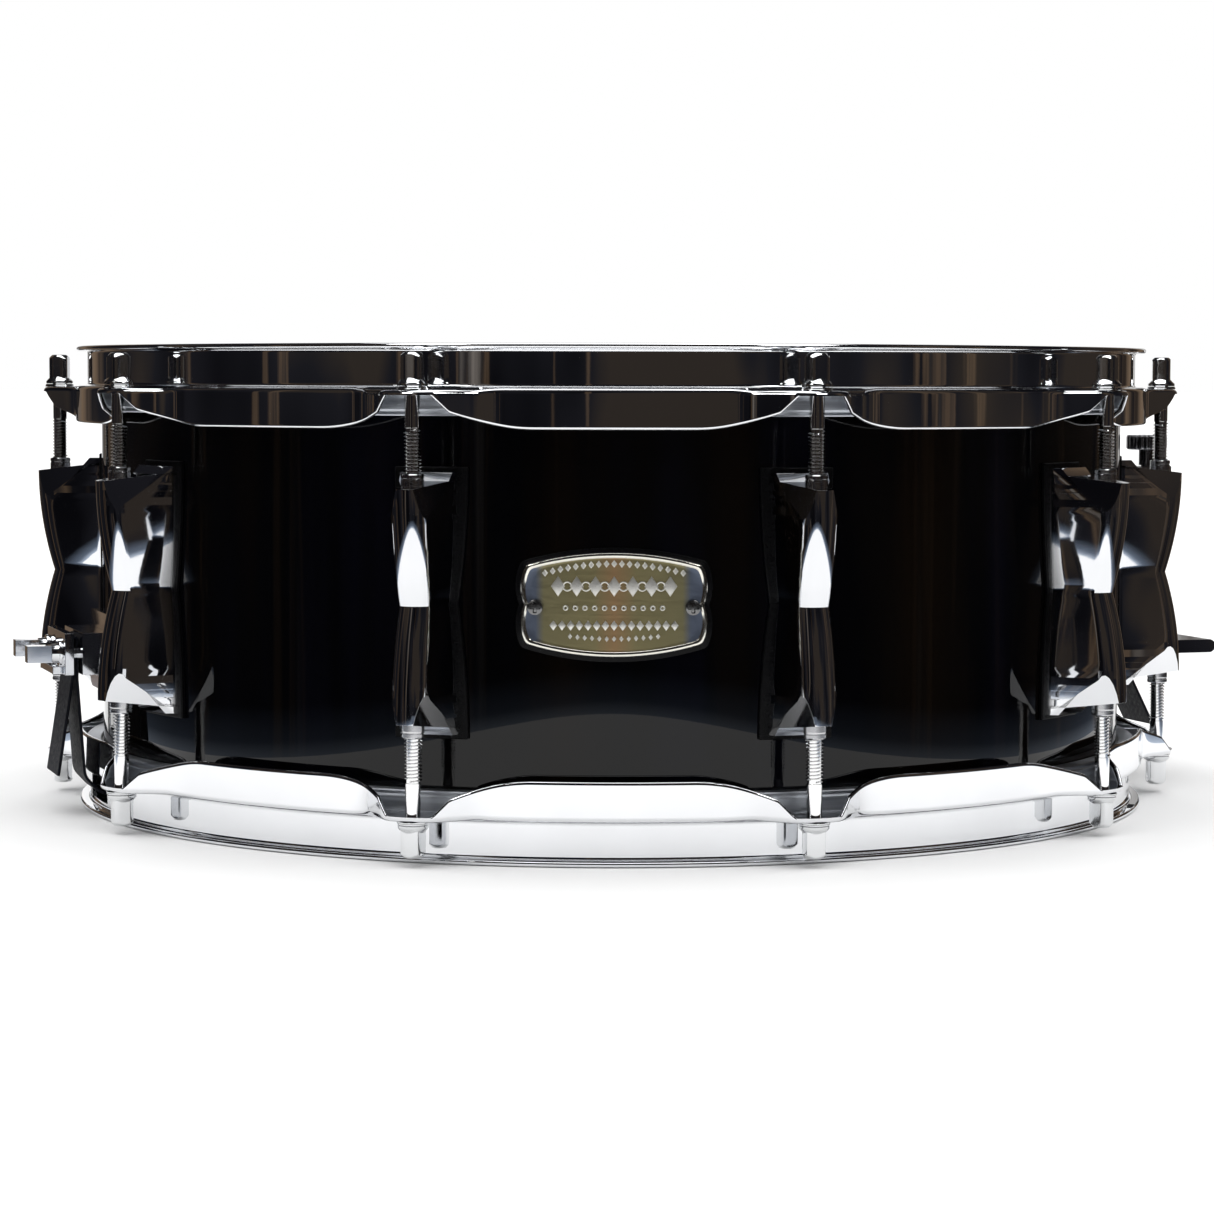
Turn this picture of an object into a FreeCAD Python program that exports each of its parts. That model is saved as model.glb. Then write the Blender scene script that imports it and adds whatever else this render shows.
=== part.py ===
import FreeCAD, Part
import math
import os

# A 14 x 5.5 inch snare drum in millimetres. It stands on its snare-side rim at z = 0, its axis is Z,
# and its badge faces -Y. Every piece is built about the drum's mid-height and lifted when it is written,
# so a snare-side piece is the mirror image of its batter-side twin.
# A piece fixed round the shell is built on the +X side: x is the distance from the drum's axis,
# y runs along the shell and z is the height. It is then turned to its own bearing.
# Bearings are in degrees from the badge, positive towards +X.

INCH = 25.4
V = FreeCAD.Vector
UP = V(0, 0, 1)
OUT = V(1, 0, 0)
ALONG = V(0, 1, 0)

# Shell and heads
SHELL_RADIUS = 7 * INCH
SHELL_HEIGHT = 5.5 * INCH
SHELL_WALL = 6.0
SHELL_INSIDE = SHELL_RADIUS - SHELL_WALL
EDGE = SHELL_HEIGHT / 2          # bearing edge, above mid-height
EDGE_ROUND = 2.0
BED_DEPTH = 1.5                  # snare bed, a shallow dip in the snare-side edge
BED_HALF_WIDTH = 40.0
FILM = 0.4
FILM_GAP = 0.2                   # between the shell's side and the head's collar
SEAT = 0.02                      # left between curved faces that bear on each other
PAST = 5.0                       # how far a cutting tool runs past what it cuts
FLESH_HOOP_HEIGHT = 7.0
FLESH_HOOP_PLAY = 0.5            # inside the skirt
FILM_TUCK = 1.0                  # from the film's end up to the flesh hoop's foot

# Hoops: pressed sheet with a lip, a collar, a step and a skirt
RIM_RISE = 8.5                   # rim above the bearing edge
RIM = EDGE + RIM_RISE
SHEET = 1.6
LIP_RADIUS = 186.2
LIP_DEPTH = 1.8
COLLAR_RADIUS = 182.5
SKIRT_RADIUS = 186.5
STEP_TOP = 65.1
SKIRT_EDGE = 52.5
EAR_TOP = 64.4
EAR_TIP = 199.7
EAR_SHOULDER = 198.4
EAR_HALF_WIDTH = 7.5
EAR_ROOT = 182.0
EAR_HOLE = 3.3
WINDOW_TOP_HALF = 7.0            # the opening under an ear
WINDOW_FOOT_HALF = 11.5
WINDOW_FOOT = 57.4
SWOOP_HALF = 34.0                # where the skirt's edge is level again
GATE_HALF_WIDTH = 16.0
GATE_TOP = STEP_TOP + 0.4
GATE_FOOT = 74.5

# Tension rods, ten at each hoop
LUG_COUNT = 10
LUG_PITCH = 360 / LUG_COUNT
ROD_CIRCLE = 194.3
ROD_HEAD = 6.3                   # across the flats
ROD_HEAD_TOP = 75.6
ROD_HEAD_FOOT = 67.9
ROD_FLANGE = 4.7
ROD_FLANGE_TOP = 66.6
ROD_FLANGE_FOOT = 65.5
ROD_SHANK = 2.375
ROD_THREAD = 2.75
THREAD_START = 52.5
THREAD_RAMP = 0.5
THREAD_POINT = 1.0
ROD_CROWN_EDGE = 0.6             # the head's top is turned off to a cone
ROD_CROWN_DROP = 1.8
ROD_TIP = 14.0
TIP_PLAY = 0.5                   # round a rod's tip inside the lug
RUNNING_GAP = 0.05
SCREW_PLAY = 0.3                 # round a screw in its clearance hole
WASHER_RADIUS = 5.0
WASHER_HOLE = 3.0
WASHER_TOP = ROD_FLANGE_FOOT - 0.1   # free under the flange

# Lugs: a waisted casting with a rounded nose, on a thin gasket
GASKET = 1.5
GASKET_HALF_HEIGHT = 41.2
GASKET_HALF_WIDTH = 11.8
GASKET_WAIST = 8.6
GASKET_BULGE = 0.8               # of its curved sides
LUG_SEAT = SHELL_RADIUS + GASKET
LUG_TOP = 39.6
LUG_NOSE_TOP = 35.0
LUG_NOSE_END = 202.0
LUG_NOSE_WAIST = 196.6
LUG_BARREL_END = 6.0
LUG_BARREL_WAIST = 5.3
LUG_BASE_END = 9.2
LUG_BASE_WAIST = 7.0
LUG_SIDE = 1.2                   # the upright strip between base and flank
LUG_SECTIONS = 6
LUG_STEP = 3.5                   # level end face next to the shell
LUG_STEP_DROP = 2.6              # then a step down to the slope of the nose
FACET_TOP = 39.0                 # an upper corner's facet, next to the shell
FACET_FOOT = 27.2                # and on the nose
FACET_WIDTH = 1.8                # taken off the end face, next to the nose
LUG_WALL = 2.5                   # round the hollow behind the nose
HOLLOW_HALF_WIDTH = 4.6
WEB_HALF_WIDTH = 5.0             # a web ties each screw boss to the flanks
WEB_HALF_DEPTH = 1.0
NUT_NECK = 3.5
NUT_TOP = 39.4
NUT_SHOULDER = 26.0
NUT_BODY = 4.5
NUT_FOOT = 18.0
LUG_SCREW_HEIGHT = 19.0
LUG_SCREW = 2.0
LUG_BOSS = 3.4
LUG_BOSS_END = 188.7
LUG_SCREW_END = 187.2
SCREW_HEAD = 3.9
SCREW_HEAD_DEPTH = 2.6
SCREW_WASHER = 5.0
SCREW_WASHER_DEPTH = 1.0
SCREW_WASHER_FACE = SHELL_INSIDE - 0.1

# Badge and vent
BADGE_HALF_WIDTH = 29.5
BADGE_WAIST = 28.6
BADGE_HALF_HEIGHT = 17.2
BADGE_SHOULDER = 13.0
BADGE_CORNER = 28.0              # half width at the shoulders
BADGE_BULGE = 7.8                # height of the widest points
BADGE_DEPTH = 0.9
BADGE_SCREW_ALONG = 23.7
BADGE_SCREW_DROP = 0.8
BADGE_SCREW_HEAD = 2.3
BADGE_SCREW_SHANK = 1.2
BADGE_SCREW_DOME = 0.9
BADGE_SCREW_SHORT = 0.5          # its point stays inside the shell's wall
VENT_BEARING = 180
VENT_RADIUS = 5.0
GROMMET_HOLE = 3.8
GROMMET_FLANGE = 7.5
GROMMET_DEPTH = 0.8

# Snares: coiled wires between two end plates, held by a strap at each end
BUTT_BEARING = -72
STRAINER_BEARING = 108
WIRE_COUNT = 20
WIRE_PITCH = 2.1
WIRE_RADIUS = 0.8
SNARE_GAP = 0.3                  # between the wires and the head
WIRE_HALF_LENGTH = 150.0
WIRE_LEVEL = EDGE + FILM + SNARE_GAP + WIRE_RADIUS
PLATE_HALF_WIDTH = 22.5
PLATE_LENGTH = 13.0
PLATE_END = WIRE_HALF_LENGTH + 4
PLATE_DEPTH = 0.8
STRAP_HALF_WIDTH = 11.5
STRAP = 1.0
STRAP_LEVEL = WIRE_LEVEL + WIRE_RADIUS + PLATE_DEPTH + STRAP / 2 + SEAT
STRAP_LINE = 191.0               # the strap's distance from the axis where it is clamped
STRAP_FOLD = 1.4                 # between its two layers
STRAP_START = WIRE_HALF_LENGTH - 8
STRAP_BENDS = [(176.0, -STRAP_LEVEL), (184.0, -70.5), (188.6, -65.5), (189.0, -61.0)]   # through the gate
BUTT_TAIL = (197.5, -65.0)
STRAINER_TAIL = (209.0, -60.0)
STRAP_TUCK = 2.0                 # from the fold to the clamp's upper edge

# Butt end
BUTT_TOP = -16.8
BUTT_FOOT = -30.7
BUTT_MIDDLE = (BUTT_TOP + BUTT_FOOT) / 2
BUTT_HALF_WIDTH = 18.5
BUTT_PLATE_TOP = -11.0
BUTT_PLATE_FOOT = -37.5
BUTT_PLATE_HALF_WIDTH = 20.0
MOUNT_PLATE_FACE = 181.5         # outer face of the mounting plates
CLAMP_BACK = STRAP_LINE - STRAP / 2 - 0.2
CLAMP_FRONT = STRAP_LINE + STRAP_FOLD + STRAP / 2 + 0.2
CLAMP_PLATE = 3.0
CLAMP_LIP_REACH = 199.5
CLAMP_LIP = 2.5
CLAMP_LIP_HALF_WIDTH = 13.5
CLAMP_SCREW_ALONG = 13.6
CLAMP_SCREW = 1.9
CLAMP_HEAD = 5.6                 # across the flats
CLAMP_HEAD_END = 208.2
CLAMP_FLANGE = 4.3
CLAMP_FLANGE_DEPTH = 1.5
CLAMP_NECK = 4.0                 # from the plate to the square
MOUNT_SCREW = 2.4
MOUNT_SCREW_INSET = 5.0          # from a mounting plate's end
MOUNT_CORNER = 5.0               # its rounded corners
MOUNT_SCREW_END = 180.8

# Strainer: a throw-off lever drops the carriage that holds the strap
BASE_HALF_WIDTH = 17.0
BASE_TOP = 36.0
BASE_FOOT = -40.0
CHEEK = 3.5
CHEEK_FOOT = -12.0
CHEEK_FRONT = 203.0
CHEEK_HEEL = 194.0
CHEEK_SLOPE = 8.0
PIVOT_OUT = 198.0
PIVOT_UP = 8.0
PIVOT_PIN = 2.0
PIN_HALF_LENGTH = BASE_HALF_WIDTH + 0.5
CHEEK_ROUND = 7.0
LEVER_HALF_WIDTH = 12.6
LEVER_HUB = 6.5
LEVER_INNER = 199.8
LEVER_OUTER = 204.8
LEVER_CURL_UP = -18.0
LEVER_CURL_OUT = 215.6
LEVER_TIP = 234.0
CARRIAGE_HALF_WIDTH = 13.0
CARRIAGE_BACK = MOUNT_PLATE_FACE + 0.4
CARRIAGE_FRONT = 190.0
CARRIAGE_FOOT = -27.0
BRACKET_HALF_WIDTH = 8.0
BRACKET_TOP = 35.7
BRACKET_DEPTH = 6.0
BRACKET_REACH = 217.0
KNOB_OUT = 210.8
KNOB_RADIUS = 7.5
KNOB_TOP = 47.2
KNOB_FOOT = 41.7
KNOB_STEM = 2.9
KNOB_CHAMFER = 0.7
KNOB_SCREW = 2.0
KNOB_SCREW_FOOT = 24.0
STRAINER_PLATE_TOP = -14.5
STRAINER_PAD_HALF_WIDTH = 17.5
STRAINER_PAD = 6.0
CLAMP_SCREW_START = CLAMP_BACK - STRAINER_PAD + 0.8
STRAINER_CLAMP_PLATE = 2.0
STRAINER_SCREW_ALONG = 14.2      # clamp screws, outside the strap's edges
STRAINER_SCREW_HEAD = 3.0
STRAINER_SCREW_HEAD_END = 198.4


def box(x, y, z):
    """A block between the pairs x, y and z."""
    return Part.makeBox(x[1] - x[0], y[1] - y[0], z[1] - z[0], V(x[0], y[0], z[0]))


def pillar(radius, low, high, x=0.0, y=0.0):
    """An upright cylinder."""
    return Part.makeCylinder(radius, high - low, V(x, y, low), UP)


def peg(radius, inner, outer, y=0.0, z=0.0):
    """A cylinder that points out from the drum's axis."""
    return Part.makeCylinder(radius, outer - inner, V(inner, y, z), OUT)


def crossbar(radius, half_length, x, z):
    """A cylinder along the shell."""
    return Part.makeCylinder(radius, 2 * half_length, V(x, -half_length, z), ALONG)


def revolved(points):
    """A solid of revolution about Z from its outline in radius and height."""
    outline = [V(r, 0, z) for r, z in points]
    return Part.Face(Part.makePolygon(outline + outline[:1])).revolve(V(0, 0, 0), UP, 360)


def tube(inner, outer, low, high):
    """A ring about the drum's axis."""
    return revolved([(inner, low), (outer, low), (outer, high), (inner, high)])


def wire_of(steps, place):
    """A closed wire. A step is a point to draw a line to, or a middle and an end to draw an arc through."""
    start = place(*steps[0][-1])
    edges = []
    here = start
    for step in steps[1:] + [steps[0]]:
        end = place(*step[-1])
        if len(step) == 2:
            edges.append(Part.Arc(here, place(*step[0]), end).toShape())
        elif end.distanceToPoint(here) > 1e-6:
            edges.append(Part.LineSegment(here, end).toShape())
        here = end
    return Part.Wire(edges)


def side_prism(steps, half_width):
    """A prism from an outline in x and z, as wide as given along the shell."""
    outline = wire_of(steps, lambda x, z: V(x, -half_width, z))
    return Part.Face(outline).extrude(ALONG * (2 * half_width))


def front_prism(steps, inner, outer):
    """A prism from an outline in y and z, pointing out from the axis."""
    outline = wire_of(steps, lambda y, z: V(inner, y, z))
    return Part.Face(outline).extrude(OUT * (outer - inner))


def turned(shape, bearing):
    """The piece turned from the +X side to its bearing."""
    return shape.rotated(V(0, 0, 0), UP, bearing - 90)


def flipped(shape):
    """The mirror image about the drum's mid-height."""
    return shape.mirror(V(0, 0, 0), UP)


def lug_bearings():
    """Bearings of the lugs, the first one just right of the badge."""
    return [LUG_PITCH * (i + 0.5) for i in range(LUG_COUNT)]


def ring_of(shape):
    """A copy of the piece at every lug."""
    return [turned(shape, bearing) for bearing in lug_bearings()]


def both_sides(shapes):
    """The pieces and their mirror images."""
    return shapes + [flipped(s) for s in shapes]


def write(name, shape):
    """Lifts the piece to its height above the floor and writes it."""
    solids = shape if isinstance(shape, list) else [shape]
    whole = solids[0] if len(solids) == 1 else Part.makeCompound(solids)
    whole.translated(UP * RIM).exportStep(f"parts/{name}.step")


# Shell

def bored(shell):
    """Cuts every hole that a fastener or the vent needs."""
    cuts = [turned(peg(VENT_RADIUS, SHELL_INSIDE - PAST, SHELL_RADIUS + PAST), VENT_BEARING)]
    hole = peg(LUG_SCREW + SCREW_PLAY, SHELL_INSIDE - PAST, SHELL_RADIUS + PAST, z=LUG_SCREW_HEIGHT)
    cuts += both_sides(ring_of(hole))
    for bearing, height in mounting_screw_places():
        hole = peg(MOUNT_SCREW + SCREW_PLAY, SHELL_INSIDE - PAST, SHELL_RADIUS + PAST, z=height)
        cuts.append(turned(hole, bearing))
    cuts += badge_screw_holes()
    return shell.cut(cuts)


def shell():
    """Plywood tube: 45 degree bearing edges rounded over at the outside, and two snare beds."""
    ridge = SHELL_RADIUS - EDGE_ROUND
    bevel = ridge - SHELL_INSIDE
    arc_middle = EDGE_ROUND * math.sqrt(0.5)
    upper = [
        ((SHELL_RADIUS, EDGE - EDGE_ROUND),),
        ((ridge + arc_middle, EDGE - EDGE_ROUND + arc_middle), (ridge, EDGE)),
        ((SHELL_INSIDE, EDGE - bevel),),
    ]
    lower = [
        ((SHELL_INSIDE, bevel - EDGE),),
        ((ridge, -EDGE),),
        ((ridge + arc_middle, EDGE_ROUND - EDGE - arc_middle), (SHELL_RADIUS, EDGE_ROUND - EDGE)),
    ]
    outline = wire_of(upper + lower, lambda r, z: V(r, 0, z))
    body = Part.Face(outline).revolve(V(0, 0, 0), UP, 360)
    bed_radius = (BED_HALF_WIDTH**2 + BED_DEPTH**2) / (2 * BED_DEPTH)
    bed = peg(bed_radius, SHELL_INSIDE - 3 * PAST, SHELL_RADIUS + PAST, z=BED_DEPTH - EDGE - bed_radius)
    return bored(body.cut([turned(bed, BUTT_BEARING), turned(bed, STRAINER_BEARING)]))


def vent_grommet():
    """Flanged eyelet pressed into the vent hole."""
    sleeve = peg(VENT_RADIUS - RUNNING_GAP, SHELL_INSIDE - GROMMET_DEPTH, SHELL_RADIUS + GROMMET_DEPTH)
    flange = peg(GROMMET_FLANGE, SHELL_RADIUS - 1, SHELL_RADIUS + GROMMET_DEPTH)
    flange = flange.cut(pillar(SHELL_RADIUS + SEAT, -EDGE, EDGE))
    hole = peg(GROMMET_HOLE, SHELL_INSIDE - PAST, SHELL_RADIUS + PAST)
    return turned(sleeve.fuse(flange).cut(hole).removeSplitter(), VENT_BEARING)


# Heads and hoops

def head():
    """Head film: the flat playing surface and the collar that runs down into its flesh hoop."""
    inner = SHELL_RADIUS + FILM_GAP
    foot = STEP_TOP - SHEET - FLESH_HOOP_HEIGHT + FILM_TUCK
    return revolved([
        (0, EDGE), (inner, EDGE), (inner, foot), (inner + FILM, foot),
        (inner + FILM, EDGE + FILM), (0, EDGE + FILM),
    ])


def flesh_hoop():
    """Metal ring that grips the film, held down by the step of the counter hoop."""
    inner = SHELL_RADIUS + FILM_GAP + FILM + SEAT
    top = STEP_TOP - SHEET - SEAT
    return tube(inner, SKIRT_RADIUS - SHEET - FLESH_HOOP_PLAY, top - FLESH_HOOP_HEIGHT, top)


def ear_plan(inset, low, high):
    """An ear's outline in plan: a blunt tip, then sides that flare at 45 degrees into the skirt."""
    half = EAR_HALF_WIDTH - inset * math.tan(math.radians(22.5))
    shoulder = EAR_SHOULDER - inset
    root_half = half + shoulder - EAR_ROOT
    steps = [
        ((EAR_ROOT, -root_half),),
        ((shoulder, -half),),
        ((EAR_TIP - inset, 0), (shoulder, half)),
        ((EAR_ROOT, root_half),),
    ]
    return Part.Face(wire_of(steps, lambda x, y: V(x, y, low))).extrude(UP * (high - low))


def ear_window():
    """Opening under an ear: a trapezoid that runs out into the scalloped edge of the skirt."""
    rise = WINDOW_FOOT - SKIRT_EDGE
    run = SWOOP_HALF - WINDOW_FOOT_HALF
    radius = (run**2 + rise**2) / (2 * rise)
    half_turn = math.asin(run / radius) / 2
    middle = (SWOOP_HALF - radius * math.sin(half_turn), SKIRT_EDGE + radius * (1 - math.cos(half_turn)))
    steps = [
        ((-SWOOP_HALF, SKIRT_EDGE),),
        ((-middle[0], middle[1]), (-WINDOW_FOOT_HALF, WINDOW_FOOT)),
        ((-WINDOW_TOP_HALF, EAR_TOP - SHEET),),
        ((WINDOW_TOP_HALF, EAR_TOP - SHEET),),
        ((WINDOW_FOOT_HALF, WINDOW_FOOT),),
        (middle, (SWOOP_HALF, SKIRT_EDGE)),
        ((SWOOP_HALF, SKIRT_EDGE - PAST),),
        ((-SWOOP_HALF, SKIRT_EDGE - PAST),),
    ]
    return front_prism(steps, SHELL_RADIUS - PAST, EAR_TIP + PAST)


def hoop():
    """Triple-flanged counter hoop with an ear over every lug."""
    collar_inside = COLLAR_RADIUS - SHEET
    skirt_inside = SKIRT_RADIUS - SHEET
    ring = revolved([
        (skirt_inside, SKIRT_EDGE), (skirt_inside, STEP_TOP - SHEET), (collar_inside, STEP_TOP - SHEET),
        (collar_inside, RIM), (LIP_RADIUS, RIM), (LIP_RADIUS, RIM - LIP_DEPTH),
        (COLLAR_RADIUS, RIM - LIP_DEPTH), (COLLAR_RADIUS, STEP_TOP), (SKIRT_RADIUS, STEP_TOP),
        (SKIRT_RADIUS, SKIRT_EDGE),
    ])
    block = ear_plan(0, SKIRT_EDGE, EAR_TOP)
    block = block.cut(pillar(SKIRT_RADIUS - SHEET / 2, SKIRT_EDGE - 1, EAR_TOP + 1))
    pocket = ear_plan(SHEET, SKIRT_EDGE - 1, EAR_TOP - SHEET)
    hole = pillar(EAR_HOLE, EAR_TOP - SHEET - 1, EAR_TOP + 1, x=ROD_CIRCLE)
    cuts = ring_of(pocket) + ring_of(ear_window()) + ring_of(hole)
    return ring.fuse(ring_of(block)).cut(cuts).removeSplitter()


def snare_side_hoop():
    """The same hoop upside down, with a gate in its collar for each strap."""
    width = (-GATE_HALF_WIDTH, GATE_HALF_WIDTH)
    gate = box((SHELL_RADIUS, COLLAR_RADIUS + 1), width, (-GATE_FOOT, -GATE_TOP))
    return flipped(hoop()).cut([turned(gate, BUTT_BEARING), turned(gate, STRAINER_BEARING)])


# Tension rods

def tension_rod():
    """Square-headed rod with a coned flange, a plain shank and a thread drawn at its outer diameter."""
    half = ROD_HEAD / 2
    corner = half * math.sqrt(2)
    block = box((-half, half), (-half, half), (ROD_FLANGE_TOP, ROD_HEAD_TOP))
    crown = revolved([
        (0, ROD_HEAD_TOP), (half - ROD_CROWN_EDGE, ROD_HEAD_TOP), (corner, ROD_HEAD_TOP - ROD_CROWN_DROP),
        (corner, ROD_FLANGE_TOP), (0, ROD_FLANGE_TOP),
    ])
    stem = revolved([
        (0, ROD_HEAD_FOOT), (half, ROD_HEAD_FOOT), (ROD_FLANGE, ROD_FLANGE_TOP),
        (ROD_FLANGE, ROD_FLANGE_FOOT), (ROD_SHANK, ROD_FLANGE_FOOT),
        (ROD_SHANK, THREAD_START + THREAD_RAMP), (ROD_THREAD, THREAD_START),
        (ROD_THREAD, ROD_TIP + THREAD_POINT), (ROD_THREAD - THREAD_POINT, ROD_TIP), (0, ROD_TIP),
    ])
    rod = block.common(crown).fuse(stem).removeSplitter()
    return rod.translated(OUT * ROD_CIRCLE)


def rod_washer():
    """Flat washer between a rod's flange and the ear."""
    outer = pillar(WASHER_RADIUS, EAR_TOP, WASHER_TOP, x=ROD_CIRCLE)
    return outer.cut(pillar(WASHER_HOLE, EAR_TOP - 1, WASHER_TOP + 1, x=ROD_CIRCLE))


# Lugs

def swell(height):
    """How far a lug has swelled from its waist, 0, to its full end, 1: a parabola with an upright end."""
    left = max(0.0, 1 - height / LUG_NOSE_TOP)
    return 1 - left**2


def lug_section(height):
    """Level section of a lug: upright base, slanting flanks, round barrel."""
    grown = swell(height)
    nose = LUG_NOSE_WAIST + (LUG_NOSE_END - LUG_NOSE_WAIST) * grown
    barrel = LUG_BARREL_WAIST + (LUG_BARREL_END - LUG_BARREL_WAIST) * grown
    base = LUG_BASE_WAIST + (LUG_BASE_END - LUG_BASE_WAIST) * grown
    steps = [
        ((SHELL_RADIUS - 1, -base),),
        ((LUG_SEAT + LUG_SIDE, -base),),
        ((nose - barrel, -barrel),),
        ((nose, 0), (nose - barrel, barrel)),
        ((LUG_SEAT + LUG_SIDE, base),),
        ((SHELL_RADIUS - 1, base),),
    ]
    return wire_of(steps, lambda x, y: V(x, y, height))


def corner_facet(side):
    """Wedge taken off a lug's upper corner, between a flank and the end face."""
    corner = V(LUG_SEAT + LUG_SIDE, side * LUG_BASE_END, FACET_TOP)
    low = V(LUG_NOSE_END - LUG_BARREL_END, side * LUG_BARREL_END, FACET_FOOT)
    high = V(LUG_NOSE_END - LUG_BARREL_END + 1, side * (LUG_BARREL_END - FACET_WIDTH), LUG_NOSE_TOP)
    outward = (high - corner).cross(low - corner) * side
    reach = LUG_NOSE_END - SHELL_RADIUS
    wedge = box((-reach, reach), (-reach, reach), (0, reach))
    wedge.Placement = FreeCAD.Placement(low, FreeCAD.Rotation(UP, outward))
    return wedge


def lug_half():
    """Upper half of a lug, from the crease at its waist to its end."""
    heights = [LUG_NOSE_TOP * i / (LUG_SECTIONS - 1) for i in range(LUG_SECTIONS)] + [LUG_TOP + PAST]
    body = Part.makeLoft([lug_section(h) for h in heights], True, True)
    step = LUG_SEAT + LUG_STEP
    above = LUG_TOP + 2 * PAST
    front = LUG_NOSE_END + PAST
    back = SHELL_RADIUS - PAST
    end = side_prism([
        ((step, LUG_TOP),), ((step + LUG_STEP_DROP, LUG_TOP - LUG_STEP_DROP),),
        ((LUG_NOSE_END, LUG_NOSE_TOP),), ((front, LUG_NOSE_TOP),), ((front, above),), ((back, above),),
        ((back, LUG_TOP),),
    ], LUG_BASE_END + PAST)
    return body.cut([end, corner_facet(1), corner_facet(-1)])


def lug():
    """Hollow casting with two screw bosses behind and a socket for a swivel nut at each end."""
    half = lug_half()
    body = half.fuse(flipped(half))
    hollow_end = LUG_NOSE_TOP - LUG_WALL
    hollow = box(
        (SHELL_RADIUS - PAST, LUG_NOSE_WAIST - LUG_WALL - 1.5), (-HOLLOW_HALF_WIDTH, HOLLOW_HALF_WIDTH),
        (-hollow_end, hollow_end),
    )
    neck = pillar(NUT_NECK + RUNNING_GAP, NUT_SHOULDER - 1, LUG_TOP + PAST, x=ROD_CIRCLE)
    socket = pillar(NUT_BODY + RUNNING_GAP, NUT_FOOT, NUT_SHOULDER + RUNNING_GAP, x=ROD_CIRCLE)
    clearance = pillar(ROD_THREAD + TIP_PLAY, ROD_TIP - 3 * TIP_PLAY, NUT_FOOT + 1, x=ROD_CIRCLE)
    behind = pillar(LUG_SEAT + SEAT, -EDGE, EDGE)
    body = body.cut([hollow, behind] + both_sides([neck, socket, clearance]))
    boss = peg(LUG_BOSS, LUG_SEAT, LUG_BOSS_END, z=LUG_SCREW_HEIGHT).cut(behind)
    web = box(
        (LUG_SEAT + 3 * SEAT, LUG_BOSS_END), (-WEB_HALF_WIDTH, WEB_HALF_WIDTH),
        (LUG_SCREW_HEIGHT - WEB_HALF_DEPTH, LUG_SCREW_HEIGHT + WEB_HALF_DEPTH),
    ).cut(behind)
    body = body.fuse(both_sides([boss, web]))
    tapped = peg(LUG_SCREW + RUNNING_GAP, LUG_SEAT - PAST, LUG_BOSS_END - 1, z=LUG_SCREW_HEIGHT)
    return body.cut(both_sides([tapped])).removeSplitter()


def lug_gasket():
    """Thin waisted gasket, curved to the shell, that stands proud round the casting."""
    bulge = (GASKET_HALF_WIDTH + GASKET_WAIST) / 2 + GASKET_BULGE
    middle = GASKET_HALF_HEIGHT / 2
    steps = [
        ((GASKET_WAIST, 0),),
        ((bulge, middle), (GASKET_HALF_WIDTH, GASKET_HALF_HEIGHT)),
        ((-GASKET_HALF_WIDTH, GASKET_HALF_HEIGHT),),
        ((-bulge, middle), (-GASKET_WAIST, 0)),
        ((-bulge, -middle), (-GASKET_HALF_WIDTH, -GASKET_HALF_HEIGHT)),
        ((GASKET_HALF_WIDTH, -GASKET_HALF_HEIGHT),),
        ((bulge, -middle), (GASKET_WAIST, 0)),
    ]
    sheet = front_prism(steps, SHELL_RADIUS - PAST, SHELL_RADIUS + PAST)
    sheet = sheet.common(tube(SHELL_RADIUS + SEAT, LUG_SEAT, -EDGE, EDGE))
    hole = peg(LUG_SCREW + SCREW_PLAY, SHELL_INSIDE, SHELL_RADIUS + PAST, z=LUG_SCREW_HEIGHT)
    return sheet.cut(both_sides([hole]))


def swivel_nut():
    """Tapped insert that a rod screws into: a body inside the lug and a neck through its end."""
    nut = pillar(NUT_BODY, NUT_FOOT, NUT_SHOULDER, x=ROD_CIRCLE)
    nut = nut.fuse(pillar(NUT_NECK, NUT_SHOULDER, NUT_TOP, x=ROD_CIRCLE))
    bore = pillar(ROD_THREAD + RUNNING_GAP, NUT_FOOT - 1, NUT_TOP + 1, x=ROD_CIRCLE)
    return nut.cut(bore).removeSplitter()


def inside_screw(radius, end, height):
    """Pan-head screw from inside the shell, its head on a washer."""
    under = SCREW_WASHER_FACE - SCREW_WASHER_DEPTH
    head_radius = SCREW_HEAD + radius - LUG_SCREW
    head = peg(head_radius, under - SCREW_HEAD_DEPTH, under, z=height)
    return head.fuse(peg(radius, under, end, z=height)).removeSplitter()


def inside_washer(radius, height):
    """Washer between a screw's head and the shell's inner wall."""
    face = SCREW_WASHER_FACE
    washer = peg(SCREW_WASHER + radius - LUG_SCREW, face - SCREW_WASHER_DEPTH, face, z=height)
    return washer.cut(peg(radius + SCREW_PLAY, face - PAST, face + PAST, z=height))


# Badge

def badge_screw_bearings():
    """Bearings of the badge's two screws."""
    swing = math.degrees(BADGE_SCREW_ALONG / SHELL_RADIUS)
    return [-swing, swing]


def badge_screw_holes():
    """Cutting tools for the screws' holes through the badge and the shell."""
    inner = SHELL_INSIDE - PAST
    tool = peg(BADGE_SCREW_SHANK + RUNNING_GAP, inner, SHELL_RADIUS + PAST, z=-BADGE_SCREW_DROP)
    return [turned(tool, bearing) for bearing in badge_screw_bearings()]


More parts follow.
